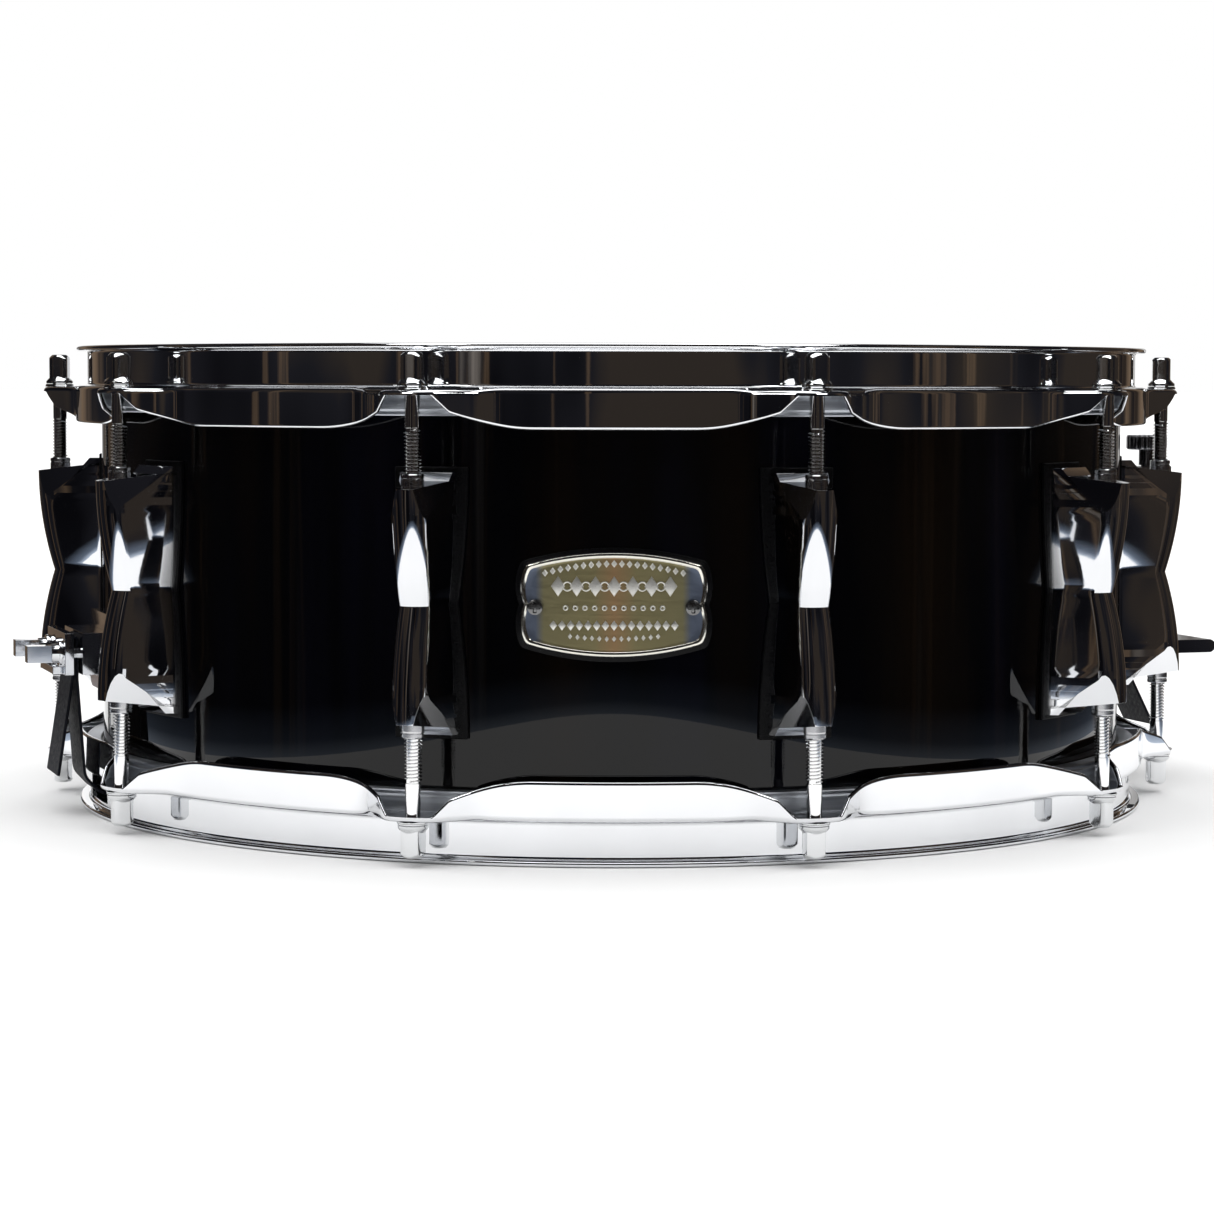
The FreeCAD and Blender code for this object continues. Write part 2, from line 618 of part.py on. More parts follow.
def badge():
    """Thin plate curved to the shell: arched top and bottom, sides pinched in at the screws."""
    steps = [
        ((BADGE_WAIST, 0),),
        ((BADGE_HALF_WIDTH, BADGE_BULGE), (BADGE_CORNER, BADGE_SHOULDER)),
        ((0, BADGE_HALF_HEIGHT), (-BADGE_CORNER, BADGE_SHOULDER)),
        ((-BADGE_HALF_WIDTH, BADGE_BULGE), (-BADGE_WAIST, 0)),
        ((-BADGE_HALF_WIDTH, -BADGE_BULGE), (-BADGE_CORNER, -BADGE_SHOULDER)),
        ((0, -BADGE_HALF_HEIGHT), (BADGE_CORNER, -BADGE_SHOULDER)),
        ((BADGE_HALF_WIDTH, -BADGE_BULGE), (BADGE_WAIST, 0)),
    ]
    plate = front_prism(steps, SHELL_INSIDE, SHELL_RADIUS + PAST)
    plate = plate.common(tube(SHELL_RADIUS + SEAT, SHELL_RADIUS + BADGE_DEPTH, -EDGE, EDGE))
    return turned(plate, 0).cut(badge_screw_holes())


def badge_screw():
    """Small dome-headed wood screw."""
    seat = SHELL_RADIUS + BADGE_DEPTH + SEAT
    head = peg(BADGE_SCREW_HEAD, seat, seat + BADGE_SCREW_DOME, z=-BADGE_SCREW_DROP)
    shank = peg(BADGE_SCREW_SHANK, SHELL_INSIDE + BADGE_SCREW_SHORT, seat, z=-BADGE_SCREW_DROP)
    return head.fuse(shank).removeSplitter()


# Snares and straps

def snare_wires():
    """The coiled wires, each drawn as the cylinder it fills, side by side under the snare head."""
    wires = []
    for i in range(WIRE_COUNT):
        across = (i - (WIRE_COUNT - 1) / 2) * WIRE_PITCH
        wire = peg(WIRE_RADIUS, -WIRE_HALF_LENGTH, WIRE_HALF_LENGTH, y=across, z=-WIRE_LEVEL)
        wires.append(turned(wire, STRAINER_BEARING))
    return wires


def snare_end_plate():
    """Plate that the wires are soldered to."""
    top = -WIRE_LEVEL - WIRE_RADIUS
    x = (PLATE_END - PLATE_LENGTH, PLATE_END)
    return box(x, (-PLATE_HALF_WIDTH, PLATE_HALF_WIDTH), (top - PLATE_DEPTH, top))


def ribbon(points):
    """A flat strap along a path in x and z, with mitred bends."""
    knots = [V(x, 0, z) for x, z in points]
    legs = [(after - here).normalize() for here, after in zip(knots, knots[1:])]
    left, right = [], []
    for knot, arriving, leaving in zip(knots, legs[:1] + legs, legs + legs[-1:]):
        along = (arriving + leaving).normalize()
        reach = STRAP / 2 / along.dot(arriving)
        left.append(((knot.x - along.z * reach, knot.z + along.x * reach),))
        right.append(((knot.x + along.z * reach, knot.z - along.x * reach),))
    return side_prism(left + right[::-1], STRAP_HALF_WIDTH)


def strap(clamp_top, clamp_foot, tail):
    """A strap from its end plate, out through the gate, up into a clamp and back down as a loose tail."""
    front = STRAP_LINE + STRAP_FOLD
    fold = clamp_top - STRAP_TUCK
    return ribbon([(STRAP_START, -STRAP_LEVEL)] + STRAP_BENDS + [
        (STRAP_LINE, clamp_foot - STRAP_TUCK), (STRAP_LINE, fold), (front, fold),
        (front, clamp_foot - 1), tail,
    ])


# Butt end

def butt_screw_heights():
    """Heights of the two mounting screws."""
    return [BUTT_PLATE_TOP - MOUNT_SCREW_INSET, BUTT_PLATE_FOOT + MOUNT_SCREW_INSET]


def mounting_plate(half_width, foot, top, heights):
    """Plate curved to the shell, tapped for its mounting screws."""
    plate = box((SHELL_RADIUS - PAST, MOUNT_PLATE_FACE), (-half_width, half_width), (foot, top))
    corners = [e for e in plate.Edges if abs(e.tangentAt(e.FirstParameter).x) > 0.9]
    plate = plate.makeFillet(MOUNT_CORNER, corners).cut(pillar(SHELL_RADIUS + SEAT, -EDGE, EDGE))
    tapped = peg(MOUNT_SCREW + RUNNING_GAP, SHELL_INSIDE, MOUNT_SCREW_END + 0.1)
    return plate.cut([tapped.translated(UP * height) for height in heights])


def butt_base():
    """Mounting plate with a block that the strap is clamped against."""
    plate = mounting_plate(BUTT_PLATE_HALF_WIDTH, BUTT_PLATE_FOOT, BUTT_PLATE_TOP, butt_screw_heights())
    width = (-BUTT_HALF_WIDTH, BUTT_HALF_WIDTH)
    block = box((MOUNT_PLATE_FACE - 0.5, CLAMP_BACK), width, (BUTT_FOOT, BUTT_TOP))
    return plate.fuse(block).cut(clamp_holes(CLAMP_SCREW_ALONG, BUTT_MIDDLE)).removeSplitter()


def clamp_holes(along, height):
    """Tapped and clearance holes for the two clamp screws, as one tool."""
    outer = CLAMP_FRONT + 2 * PAST
    tool = peg(CLAMP_SCREW + RUNNING_GAP, CLAMP_BACK - STRAINER_PAD, outer, y=along, z=height)
    return [tool, tool.mirror(V(0, 0, 0), ALONG)]


def butt_clamp_plate():
    """Plate that presses the strap onto the block, with a lip along its foot."""
    width = (-BUTT_HALF_WIDTH, BUTT_HALF_WIDTH)
    plate = box((CLAMP_FRONT, CLAMP_FRONT + CLAMP_PLATE), width, (BUTT_FOOT, BUTT_TOP))
    lip_width = (-CLAMP_LIP_HALF_WIDTH, CLAMP_LIP_HALF_WIDTH)
    lip = box((CLAMP_FRONT, CLAMP_LIP_REACH), lip_width, (BUTT_FOOT, BUTT_FOOT + CLAMP_LIP))
    return plate.fuse(lip).cut(clamp_holes(CLAMP_SCREW_ALONG, BUTT_MIDDLE)).removeSplitter()


def butt_clamp_screw(side):
    """Square-headed clamp screw with a round flange."""
    along = side * CLAMP_SCREW_ALONG
    seat = CLAMP_FRONT + CLAMP_PLATE
    half = CLAMP_HEAD / 2
    shank = peg(CLAMP_SCREW, CLAMP_SCREW_START, seat, y=along, z=BUTT_MIDDLE)
    flange = peg(CLAMP_FLANGE, seat, seat + CLAMP_FLANGE_DEPTH, y=along, z=BUTT_MIDDLE)
    neck = peg(half + 0.4, seat + CLAMP_FLANGE_DEPTH, seat + CLAMP_NECK, y=along, z=BUTT_MIDDLE)
    square = box((seat + CLAMP_NECK, CLAMP_HEAD_END), (-half, half), (-half, half))
    head = square.translated(V(0, along, BUTT_MIDDLE))
    return shank.fuse([flange, neck, head]).removeSplitter()


# Strainer

def mounting_screw_places():
    """Bearing and height of every screw that holds the strainer or the butt end to the shell."""
    places = [(STRAINER_BEARING, height) for height in strainer_screw_heights()]
    return places + [(BUTT_BEARING, height) for height in butt_screw_heights()]


def strainer_screw_heights():
    """Heights of the two mounting screws."""
    return [BASE_TOP - MOUNT_SCREW_INSET, BASE_FOOT + MOUNT_SCREW_INSET]


def strainer_base():
    """Mounting plate with two cheeks that guide the carriage and carry the lever's pivot."""
    plate = mounting_plate(BASE_HALF_WIDTH, BASE_FOOT, BASE_TOP, strainer_screw_heights())
    inner = BASE_HALF_WIDTH - CHEEK
    cheek = side_prism([
        ((MOUNT_PLATE_FACE - 0.5, CHEEK_FOOT),), ((CHEEK_HEEL, CHEEK_FOOT),),
        ((CHEEK_FRONT, CHEEK_FOOT + CHEEK_SLOPE),), ((PIVOT_OUT + CHEEK_ROUND, PIVOT_UP),),
        ((PIVOT_OUT, PIVOT_UP + CHEEK_ROUND), (PIVOT_OUT - CHEEK_ROUND, PIVOT_UP + 1)),
        ((MOUNT_PLATE_FACE - 0.5, BASE_TOP - CHEEK_SLOPE),),
    ], BASE_HALF_WIDTH)
    front = CHEEK_FRONT + PAST
    channel = box((MOUNT_PLATE_FACE, front), (-inner, inner), (BASE_FOOT - PAST, BASE_TOP + PAST))
    bore = crossbar(PIVOT_PIN, BASE_HALF_WIDTH + PAST, PIVOT_OUT, PIVOT_UP)
    return plate.fuse(cheek.cut(channel)).cut(bore).removeSplitter()


def strainer_lever():
    """Throw-off lever: hub on the pivot pin, upright arm, and a foot that curls out to the finger tip."""
    outer_curl = LEVER_CURL_OUT - LEVER_INNER
    inner_curl = LEVER_CURL_OUT - LEVER_OUTER
    low = LEVER_CURL_UP - outer_curl
    high = LEVER_CURL_UP - inner_curl
    slant = math.sqrt(0.5)
    tip_round = (high - low) / 2
    outer_middle = (LEVER_CURL_OUT - outer_curl * slant, LEVER_CURL_UP - outer_curl * slant)
    inner_middle = (LEVER_CURL_OUT - inner_curl * slant, LEVER_CURL_UP - inner_curl * slant)
    arm = side_prism([
        ((LEVER_INNER, PIVOT_UP),),
        ((LEVER_INNER, LEVER_CURL_UP),),
        (outer_middle, (LEVER_CURL_OUT, low)),
        ((LEVER_TIP - tip_round, low),),
        ((LEVER_TIP, low + tip_round), (LEVER_TIP - tip_round, high)),
        ((LEVER_CURL_OUT, high),),
        (inner_middle, (LEVER_OUTER, LEVER_CURL_UP)),
        ((LEVER_OUTER, PIVOT_UP),),
    ], LEVER_HALF_WIDTH)
    hub = crossbar(LEVER_HUB, LEVER_HALF_WIDTH, PIVOT_OUT, PIVOT_UP)
    bore = crossbar(PIVOT_PIN + RUNNING_GAP, LEVER_HALF_WIDTH + PAST, PIVOT_OUT, PIVOT_UP)
    return arm.fuse(hub).cut(bore).removeSplitter()


def strainer_pivot_pin():
    """Pin through both cheeks and the lever."""
    return crossbar(PIVOT_PIN, PIN_HALF_LENGTH, PIVOT_OUT, PIVOT_UP)


def strainer_clamp_height():
    """Height of the strap clamp's screws."""
    return (CARRIAGE_FOOT + STRAINER_PLATE_TOP) / 2


def strainer_carriage():
    """Block that slides behind the lever, with a bracket at its top for the tension screw."""
    width = (-CARRIAGE_HALF_WIDTH, CARRIAGE_HALF_WIDTH)
    block = box((CARRIAGE_BACK, CARRIAGE_FRONT), width, (CARRIAGE_FOOT, BRACKET_TOP))
    bracket = box(
        (CARRIAGE_FRONT - 1, BRACKET_REACH), (-BRACKET_HALF_WIDTH, BRACKET_HALF_WIDTH),
        (BRACKET_TOP - BRACKET_DEPTH, BRACKET_TOP),
    )
    bore = pillar(KNOB_SCREW + RUNNING_GAP, KNOB_SCREW_FOOT, BRACKET_TOP + PAST, x=KNOB_OUT)
    pad_width = (-STRAINER_PAD_HALF_WIDTH, STRAINER_PAD_HALF_WIDTH)
    pad = box((CLAMP_BACK - STRAINER_PAD, CLAMP_BACK), pad_width, (CARRIAGE_FOOT, STRAINER_PLATE_TOP))
    holes = clamp_holes(STRAINER_SCREW_ALONG, strainer_clamp_height())
    return block.fuse([bracket, pad]).cut([bore] + holes).removeSplitter()


def strainer_knob():
    """Tension knob on its screw."""
    knob = pillar(KNOB_RADIUS, KNOB_FOOT, KNOB_TOP, x=KNOB_OUT)
    rim = [e for e in knob.Edges if isinstance(e.Curve, Part.Circle)]
    knob = knob.makeChamfer(KNOB_CHAMFER, rim)
    stem = pillar(KNOB_STEM, BRACKET_TOP + 0.1, KNOB_FOOT, x=KNOB_OUT)
    screw = pillar(KNOB_SCREW, KNOB_SCREW_FOOT, BRACKET_TOP + 0.1, x=KNOB_OUT)
    return knob.fuse([stem, screw]).removeSplitter()


def strainer_clamp_plate():
    """Plate that presses the strap onto the carriage."""
    width = (-STRAINER_PAD_HALF_WIDTH, STRAINER_PAD_HALF_WIDTH)
    depth = (CLAMP_FRONT, CLAMP_FRONT + STRAINER_CLAMP_PLATE)
    plate = box(depth, width, (CARRIAGE_FOOT, STRAINER_PLATE_TOP))
    return plate.cut(clamp_holes(STRAINER_SCREW_ALONG, strainer_clamp_height()))


def strainer_clamp_screw(side):
    """Low-headed clamp screw that clears the lever."""
    along = side * STRAINER_SCREW_ALONG
    height = strainer_clamp_height()
    seat = CLAMP_FRONT + STRAINER_CLAMP_PLATE
    head = peg(STRAINER_SCREW_HEAD, seat, STRAINER_SCREW_HEAD_END, y=along, z=height)
    return head.fuse(peg(CLAMP_SCREW, CLAMP_SCREW_START, seat, y=along, z=height)).removeSplitter()


def write_drum():
    """Shell, heads and hoops."""
    write("shell", shell())
    write("vent_grommet", vent_grommet())
    write("batter_head", head())
    write("snare_side_head", flipped(head()))
    write("batter_flesh_hoop", flesh_hoop())
    write("snare_side_flesh_hoop", flipped(flesh_hoop()))
    write("batter_hoop", hoop())
    write("snare_side_hoop", snare_side_hoop())
    write("badge", badge())
    write("badge_screws", [turned(badge_screw(), b) for b in badge_screw_bearings()])


def write_lugs():
    """Lugs, their fasteners and the tension rods."""
    casting = lug()
    rod = tension_rod()
    for number, bearing in enumerate(lug_bearings(), start=1):
        write(f"lug_{number:02d}", turned(casting, bearing))
        write(f"batter_rod_{number:02d}", turned(rod, bearing))
        write(f"snare_side_rod_{number:02d}", turned(flipped(rod), bearing))
    write("lug_gaskets", ring_of(lug_gasket()))
    write("swivel_nuts", both_sides(ring_of(swivel_nut())))
    write("rod_washers", both_sides(ring_of(rod_washer())))
    write("lug_screws", both_sides(ring_of(inside_screw(LUG_SCREW, LUG_SCREW_END, LUG_SCREW_HEIGHT))))
    write("lug_screw_washers", both_sides(ring_of(inside_washer(LUG_SCREW, LUG_SCREW_HEIGHT))))


def write_snares():
    """Snare wires, straps, butt end and strainer."""
    plate = snare_end_plate()
    write("snare_wires", snare_wires())
    write("snare_end_plates", [turned(plate, BUTT_BEARING), turned(plate, STRAINER_BEARING)])
    write("butt_strap", turned(strap(BUTT_TOP, BUTT_FOOT, BUTT_TAIL), BUTT_BEARING))
    write("butt_base", turned(butt_base(), BUTT_BEARING))
    write("butt_clamp_plate", turned(butt_clamp_plate(), BUTT_BEARING))
    write("butt_clamp_screws", [turned(butt_clamp_screw(side), BUTT_BEARING) for side in (-1, 1)])
    strainer_end = strap(STRAINER_PLATE_TOP, CARRIAGE_FOOT, STRAINER_TAIL)
    write("strainer_strap", turned(strainer_end, STRAINER_BEARING))
    write("strainer_base", turned(strainer_base(), STRAINER_BEARING))
    write("strainer_lever", turned(strainer_lever(), STRAINER_BEARING))
    write("strainer_pivot_pin", turned(strainer_pivot_pin(), STRAINER_BEARING))
    write("strainer_carriage", turned(strainer_carriage(), STRAINER_BEARING))
    write("strainer_knob", turned(strainer_knob(), STRAINER_BEARING))
    write("strainer_clamp_plate", turned(strainer_clamp_plate(), STRAINER_BEARING))
    clamp_screws = [turned(strainer_clamp_screw(side), STRAINER_BEARING) for side in (-1, 1)]
    write("strainer_clamp_screws", clamp_screws)
    screws = [turned(inside_screw(MOUNT_SCREW, MOUNT_SCREW_END, z), b) for b, z in mounting_screw_places()]
    write("mounting_screws", screws)


os.makedirs("parts", exist_ok=True)
write_drum()
write_lugs()
write_snares()
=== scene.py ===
import math

import bmesh
import bpy
from mathutils import Matrix, Vector


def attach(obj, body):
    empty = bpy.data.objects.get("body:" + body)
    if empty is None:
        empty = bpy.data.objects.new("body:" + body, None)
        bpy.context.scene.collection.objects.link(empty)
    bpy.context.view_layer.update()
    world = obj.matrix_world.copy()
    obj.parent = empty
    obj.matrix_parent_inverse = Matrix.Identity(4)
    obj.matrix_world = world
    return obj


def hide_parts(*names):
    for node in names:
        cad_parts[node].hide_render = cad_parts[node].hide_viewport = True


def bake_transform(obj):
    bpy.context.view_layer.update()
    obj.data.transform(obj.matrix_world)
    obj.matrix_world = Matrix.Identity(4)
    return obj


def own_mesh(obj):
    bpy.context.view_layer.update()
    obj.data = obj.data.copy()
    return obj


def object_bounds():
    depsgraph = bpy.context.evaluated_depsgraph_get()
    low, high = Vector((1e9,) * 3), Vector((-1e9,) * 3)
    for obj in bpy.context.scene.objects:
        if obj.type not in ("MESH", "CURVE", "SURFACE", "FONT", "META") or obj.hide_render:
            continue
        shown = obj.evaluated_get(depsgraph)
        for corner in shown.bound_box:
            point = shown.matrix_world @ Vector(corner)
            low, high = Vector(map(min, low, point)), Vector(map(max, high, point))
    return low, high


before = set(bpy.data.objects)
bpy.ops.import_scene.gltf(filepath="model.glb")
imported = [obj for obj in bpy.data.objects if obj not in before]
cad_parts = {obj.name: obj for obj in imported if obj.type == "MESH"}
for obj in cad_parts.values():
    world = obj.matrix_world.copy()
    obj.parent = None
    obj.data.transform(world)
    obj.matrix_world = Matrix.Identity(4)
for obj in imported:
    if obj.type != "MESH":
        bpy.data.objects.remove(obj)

# The looks of a 14 x 5.5 inch snare drum. Shapes are made in millimetres, with heights from the drum's
# mid-height, and placed in metres by place(). A piece fixed round the shell is made on the +X side: x is
# the distance from the drum's axis, y runs along the shell, z is the height. Bearings are in degrees from
# the badge, positive towards +X. Sizes repeat those of the CAD model.

CAD_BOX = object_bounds()
MM = 0.001
RIM = CAD_BOX[1].z / MM / 2      # half of the whole height
FULL_TURN = 2 * math.pi

SHELL_RADIUS = 177.8
SHELL_INSIDE = 171.8
EDGE = 69.85                     # bearing edge
FILM = 0.4
FILM_INSIDE = 178.0
SHEET = 1.6
LIP_RADIUS = 186.2
COLLAR_RADIUS = 182.5
SKIRT_RADIUS = 186.5
STEP_TOP = 65.1
SKIRT_EDGE = 52.5
EAR_TOP = 64.4
EAR_TIP = 199.7
EAR_SHOULDER = 198.4
EAR_HALF_WIDTH = 7.5
WINDOW_TOP_HALF = 7.0
WINDOW_FOOT_HALF = 11.5
WINDOW_FOOT = 57.4
SWOOP_HALF = 34.0
GATE_HALF_WIDTH = 16.0
GATE_TOP = 74.5
LUG_COUNT = 10
LUG_PITCH = 360 / LUG_COUNT
ROD_CIRCLE = 194.3
GASKET_DEPTH = 1.5
LUG_SEAT = SHELL_RADIUS + GASKET_DEPTH
LUG_TOP = 39.6
LUG_NOSE_TOP = 35.0
LUG_NOSE_END = 202.0
LUG_BASE_END = 9.2
LUG_SIDE = 1.2                   # the upright strip between a lug's base and its flank
BADGE_HALF_WIDTH = 29.5
BADGE_HALF_HEIGHT = 17.2
KNOB_OUT = 210.8
BUTT_BEARING = -72
STRAINER_BEARING = 108
WIRE_LEVEL = 71.35
STRAP_LEVEL = 73.47
STRAP_HALF_WIDTH = 11.5
STRAP = 1.0


# Shapes: a shape is a list of points and a list of faces

def grid(rows, round_rows=False, round_columns=False):
    """Faces between rows of points, closed round either way if asked."""
    high, wide = len(rows), len(rows[0])
    faces = []
    for i in range(high if round_rows else high - 1):
        for j in range(wide if round_columns else wide - 1):
            k, m = (i + 1) % high, (j + 1) % wide
            faces.append((i * wide + j, i * wide + m, k * wide + m, k * wide + j))
    return [point for row in rows for point in row], faces


def joined(shapes):
    """Several shapes as one."""
    points, faces = [], []
    for more_points, more_faces in shapes:
        start = len(points)
        points += more_points
        faces += [tuple(start + v for v in face) for face in more_faces]
    return points, faces


def moved(shape, change):
    """The shape with every point changed."""
    return [change(*point) for point in shape[0]], shape[1]


def flipped(shape):
    """The mirror image about the drum's mid-height."""
    points, faces = moved(shape, lambda x, y, z: (x, y, -z))
    return points, [face[::-1] for face in faces]


def turned(shape, bearing):
    """The shape turned about the drum's axis from the +X side to its bearing."""
    c, s = math.cos(math.radians(bearing - 90)), math.sin(math.radians(bearing - 90))
    return moved(shape, lambda x, y, z: (c * x - s * y, s * x + c * y, z))


def lug_bearings():
    """Bearings of the lugs, the first one just right of the badge."""
    return [LUG_PITCH * (i + 0.5) for i in range(LUG_COUNT)]


def at_lugs(shape):
    """A copy of the shape at each lug."""
    return joined([turned(shape, bearing) for bearing in lug_bearings()])


def polar(radius, angle, height):
    """The point at a radius and an angle round Z."""
    return radius * math.cos(angle), radius * math.sin(angle), height


def lathe(outline, steps):
    """A closed outline in radius and height turned about Z."""
    rows = [[polar(r, FULL_TURN * i / steps, z) for r, z in outline] for i in range(steps)]
    return grid(rows, True, True)


def ring(radius, height, around):
    """A level ring of points. Radius and height are numbers, or functions of the angle."""
    points = []
    for k in range(around):
        angle = FULL_TURN * k / around
        r = radius(angle) if callable(radius) else radius
        z = height(angle) if callable(height) else height
        points.append(polar(r, angle, z))
    return points


def onto_rod_circle(shape):
    """A shape made about its own axis, moved out to where the rods stand: at every lug, at both ends."""
    upper = at_lugs(moved(shape, lambda x, y, z: (x + ROD_CIRCLE, y, z)))
    return joined([upper, flipped(upper)])


def rounded(points, radius, steps=4):
    """An open path in two dimensions with its corners rounded, each as far as its legs allow."""
    path = [points[0]]
    share = 0.48                     # of a leg that one corner may use up
    for before, corner, after in zip(points, points[1:], points[2:]):
        knot = Vector(corner)
        back, ahead = Vector(before) - knot, Vector(after) - knot
        half_angle = back.angle(ahead) / 2
        reach = min(radius / math.tan(half_angle), back.length * share, ahead.length * share)
        start, end = knot + back.normalized() * reach, knot + ahead.normalized() * reach
        centre = knot + (back.normalized() + ahead.normalized()).normalized() * (reach / math.cos(half_angle))
        for i in range(steps + 1):
            spoke = (start - centre).lerp(end - centre, i / steps)
            spoke = spoke.normalized() * (start - centre).length
            path.append(tuple(centre + spoke))
    return path + [points[-1]]


def filled(stops, longest):
    """The stops with more values between them, none further apart than the matching length."""
    values = [stops[0]]
    for low, high, step in zip(stops, stops[1:], longest):
        count = max(1, math.ceil((high - low) / step - 1e-9))
        values += [low + (high - low) * (i + 1) / count for i in range(count)]
    return values


# Objects

def editable(shape, scale=1.0):
    """A shape as an editable mesh."""
    work = bmesh.new()
    points = [work.verts.new((x * scale, y * scale, z * scale)) for x, y, z in shape[0]]
    for face in shape[1]:
        work.faces.new([points[v] for v in face])
    return work


def mesh_of(name, shape, material, weld=True, fix_normals=True, sharp=40):
    """A smooth mesh from a shape, with edges sharper than the angle kept sharp."""
    mesh = bpy.data.meshes.new(name)
    work = editable(shape, MM)
    if weld:
        bmesh.ops.remove_doubles(work, verts=work.verts, dist=2e-6)
        bmesh.ops.dissolve_degenerate(work, edges=work.edges, dist=2e-6)
    if fix_normals:
        bmesh.ops.recalc_face_normals(work, faces=work.faces)
    work.to_mesh(mesh)
    work.free()
    mesh.polygons.foreach_set("use_smooth", [True] * len(mesh.polygons))
    mesh.set_sharp_from_angle(angle=math.radians(sharp))
    mesh.materials.append(material)
    return mesh


def linked(name, data):
    """A new object in the scene."""
    piece = bpy.data.objects.new(name, data)
    bpy.context.collection.objects.link(piece)
    return piece


def place(name, mesh, bearing=90, body="drum", replaces=(), rides=True):
    """An object at its bearing and at the drum's height, riding on its body."""
    piece = linked(name, mesh)
    piece.location.z = RIM * MM
    piece.rotation_euler.z = math.radians(bearing - 90)
    if replaces:
        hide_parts(*replaces)
    if rides:
        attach(piece, body)
    return piece


def look(name, shape, material, slot, bearing=90, body="drum", rides=True, **mesh_settings):
    """An object made from a shape that stands for the CAD node of this name."""
    mesh = mesh_of(f"{name}_look", shape, material, **mesh_settings)
    return place(f"{name}_look", mesh, bearing, body, [name], rides)


def stand_off(piece, reach, bearing):
    """Moves a piece made about its own axis out to its distance from the drum's axis."""
    turn = math.radians(bearing)
    piece.location.x = reach * MM * math.sin(turn)
    piece.location.y = -reach * MM * math.cos(turn)


def thicken(piece, depth, offset):
    """Gives a sheet its thickness, in millimetres."""
    modifier = piece.modifiers.new("thickness", "SOLIDIFY")
    modifier.thickness = depth * MM
    modifier.offset = offset
    modifier.use_even_offset = True
    modifier.use_quality_normals = True


def soften(piece, width, steps=2, angle=50):
    """Rounds the edges of a piece, in millimetres."""
    modifier = piece.modifiers.new("rounded_edges", "BEVEL")
    modifier.width = width * MM
    modifier.segments = steps
    modifier.limit_method = "ANGLE"
    modifier.angle_limit = math.radians(angle)
    modifier.harden_normals = True


def settle(piece):
    """Makes the result of a piece's modifiers its own mesh."""
    ready = piece.evaluated_get(bpy.context.evaluated_depsgraph_get())
    piece.data = bpy.data.meshes.new_from_object(ready)
    piece.modifiers.clear()


def finish_node(name, material, width, steps=2):
    """Keeps a CAD node: joins its flat triangles into faces, rounds its edges and gives it a material."""
    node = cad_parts[name]
    for entry in node.material_slots:
        entry.link = "OBJECT"
        entry.material = material
    weld = node.modifiers.new("weld", "WELD")
    weld.merge_threshold = 1e-6
    flat = node.modifiers.new("flat_faces", "DECIMATE")
    flat.decimate_type = "DISSOLVE"
    flat.angle_limit = math.radians(1.5)
    soften(node, width, steps, angle=35)


# Materials

def new_material(name, settings):
    """A material whose shader has these settings."""
    material = bpy.data.materials.new(name)
    material.use_nodes = True
    shader = material.node_tree.nodes["Principled BSDF"]
    for socket, value in settings.items():
        shader.inputs[socket].default_value = value
    return material


def node_of(material, kind, settings=None, links=None):
    """A node in the material with its settings, and its inputs linked to other nodes' outputs."""
    node = material.node_tree.nodes.new(kind)
    for key, value in (settings or {}).items():
        if isinstance(key, int) or key in node.inputs:
            node.inputs[key].default_value = value
        else:
            setattr(node, key, value)
    for key, socket in (links or {}).items():
        material.node_tree.links.new(socket, node.inputs[key])
    return node


def into_shader(material, socket, output):
    """Links an output to one of the shader's inputs."""
    shader = material.node_tree.nodes["Principled BSDF"]
    material.node_tree.links.new(output, shader.inputs[socket])


def own_place(material):
    """The place of a point in the piece's own coordinates."""
    return node_of(material, "ShaderNodeTexCoord").outputs["Object"]


def own_axes(material):
    """The same place as separate X, Y and Z."""
    return node_of(material, "ShaderNodeSeparateXYZ", links={"Vector": own_place(material)}).outputs


def computed(material, operation, *values):
    """The result of an operation on outputs of nodes and plain numbers."""
    node = node_of(material, "ShaderNodeMath", {"operation": operation})
    for socket, value in zip(node.inputs, values):
        if isinstance(value, bpy.types.NodeSocket):
            material.node_tree.links.new(value, socket)
        else:
            socket.default_value = value
    return node.outputs["Value"]


def noise(material, scale, stretch=(1, 1, 1), detail=3.0):
    """Noise in the piece's own coordinates, so many features to the metre, stretched along an axis."""
    mapping = node_of(material, "ShaderNodeMapping", {"Scale": stretch}, {"Vector": own_place(material)})
    texture = node_of(
        material, "ShaderNodeTexNoise", {"Scale": scale, "Detail": detail},
        {"Vector": mapping.outputs["Vector"]},
    )
    return texture.outputs["Fac"]


def spread_of(material, value, start, end, low=0.0, high=1.0):
    """Maps a value from the range between start and end to the range from low to high."""
    node = node_of(
        material, "ShaderNodeMapRange",
        {"From Min": start, "From Max": end, "To Min": low, "To Max": high}, {"Value": value},
    )
    return node.outputs["Result"]


def roughen(material, value, low, high):
    """Roughness that follows a noise over its usual range."""
    into_shader(material, "Roughness", spread_of(material, value, 0.3, 0.7, low, high))


def colours_of(material, value, stops):
    """Colours along a value, from pairs of a position and a colour."""
    ramp = node_of(material, "ShaderNodeValToRGB", links={"Fac": value})
    elements = ramp.color_ramp.elements
    while len(elements) < len(stops):
        elements.new(0.5)
    for element, (position, colour) in zip(elements, stops):
        element.position = position
        element.color = (*colour, 1)
    return ramp.outputs["Color"]


def tint_by(material, value, stops):
    """The surface's colour along a value."""
    into_shader(material, "Base Color", colours_of(material, value, stops))


def bumps(material, height, strength, depth):
    """Surface relief from a value, its depth in millimetres."""
    node = node_of(
        material, "ShaderNodeBump", {"Strength": strength, "Distance": depth * MM}, {"Height": height}
    )
    into_shader(material, "Normal", node.outputs["Normal"])


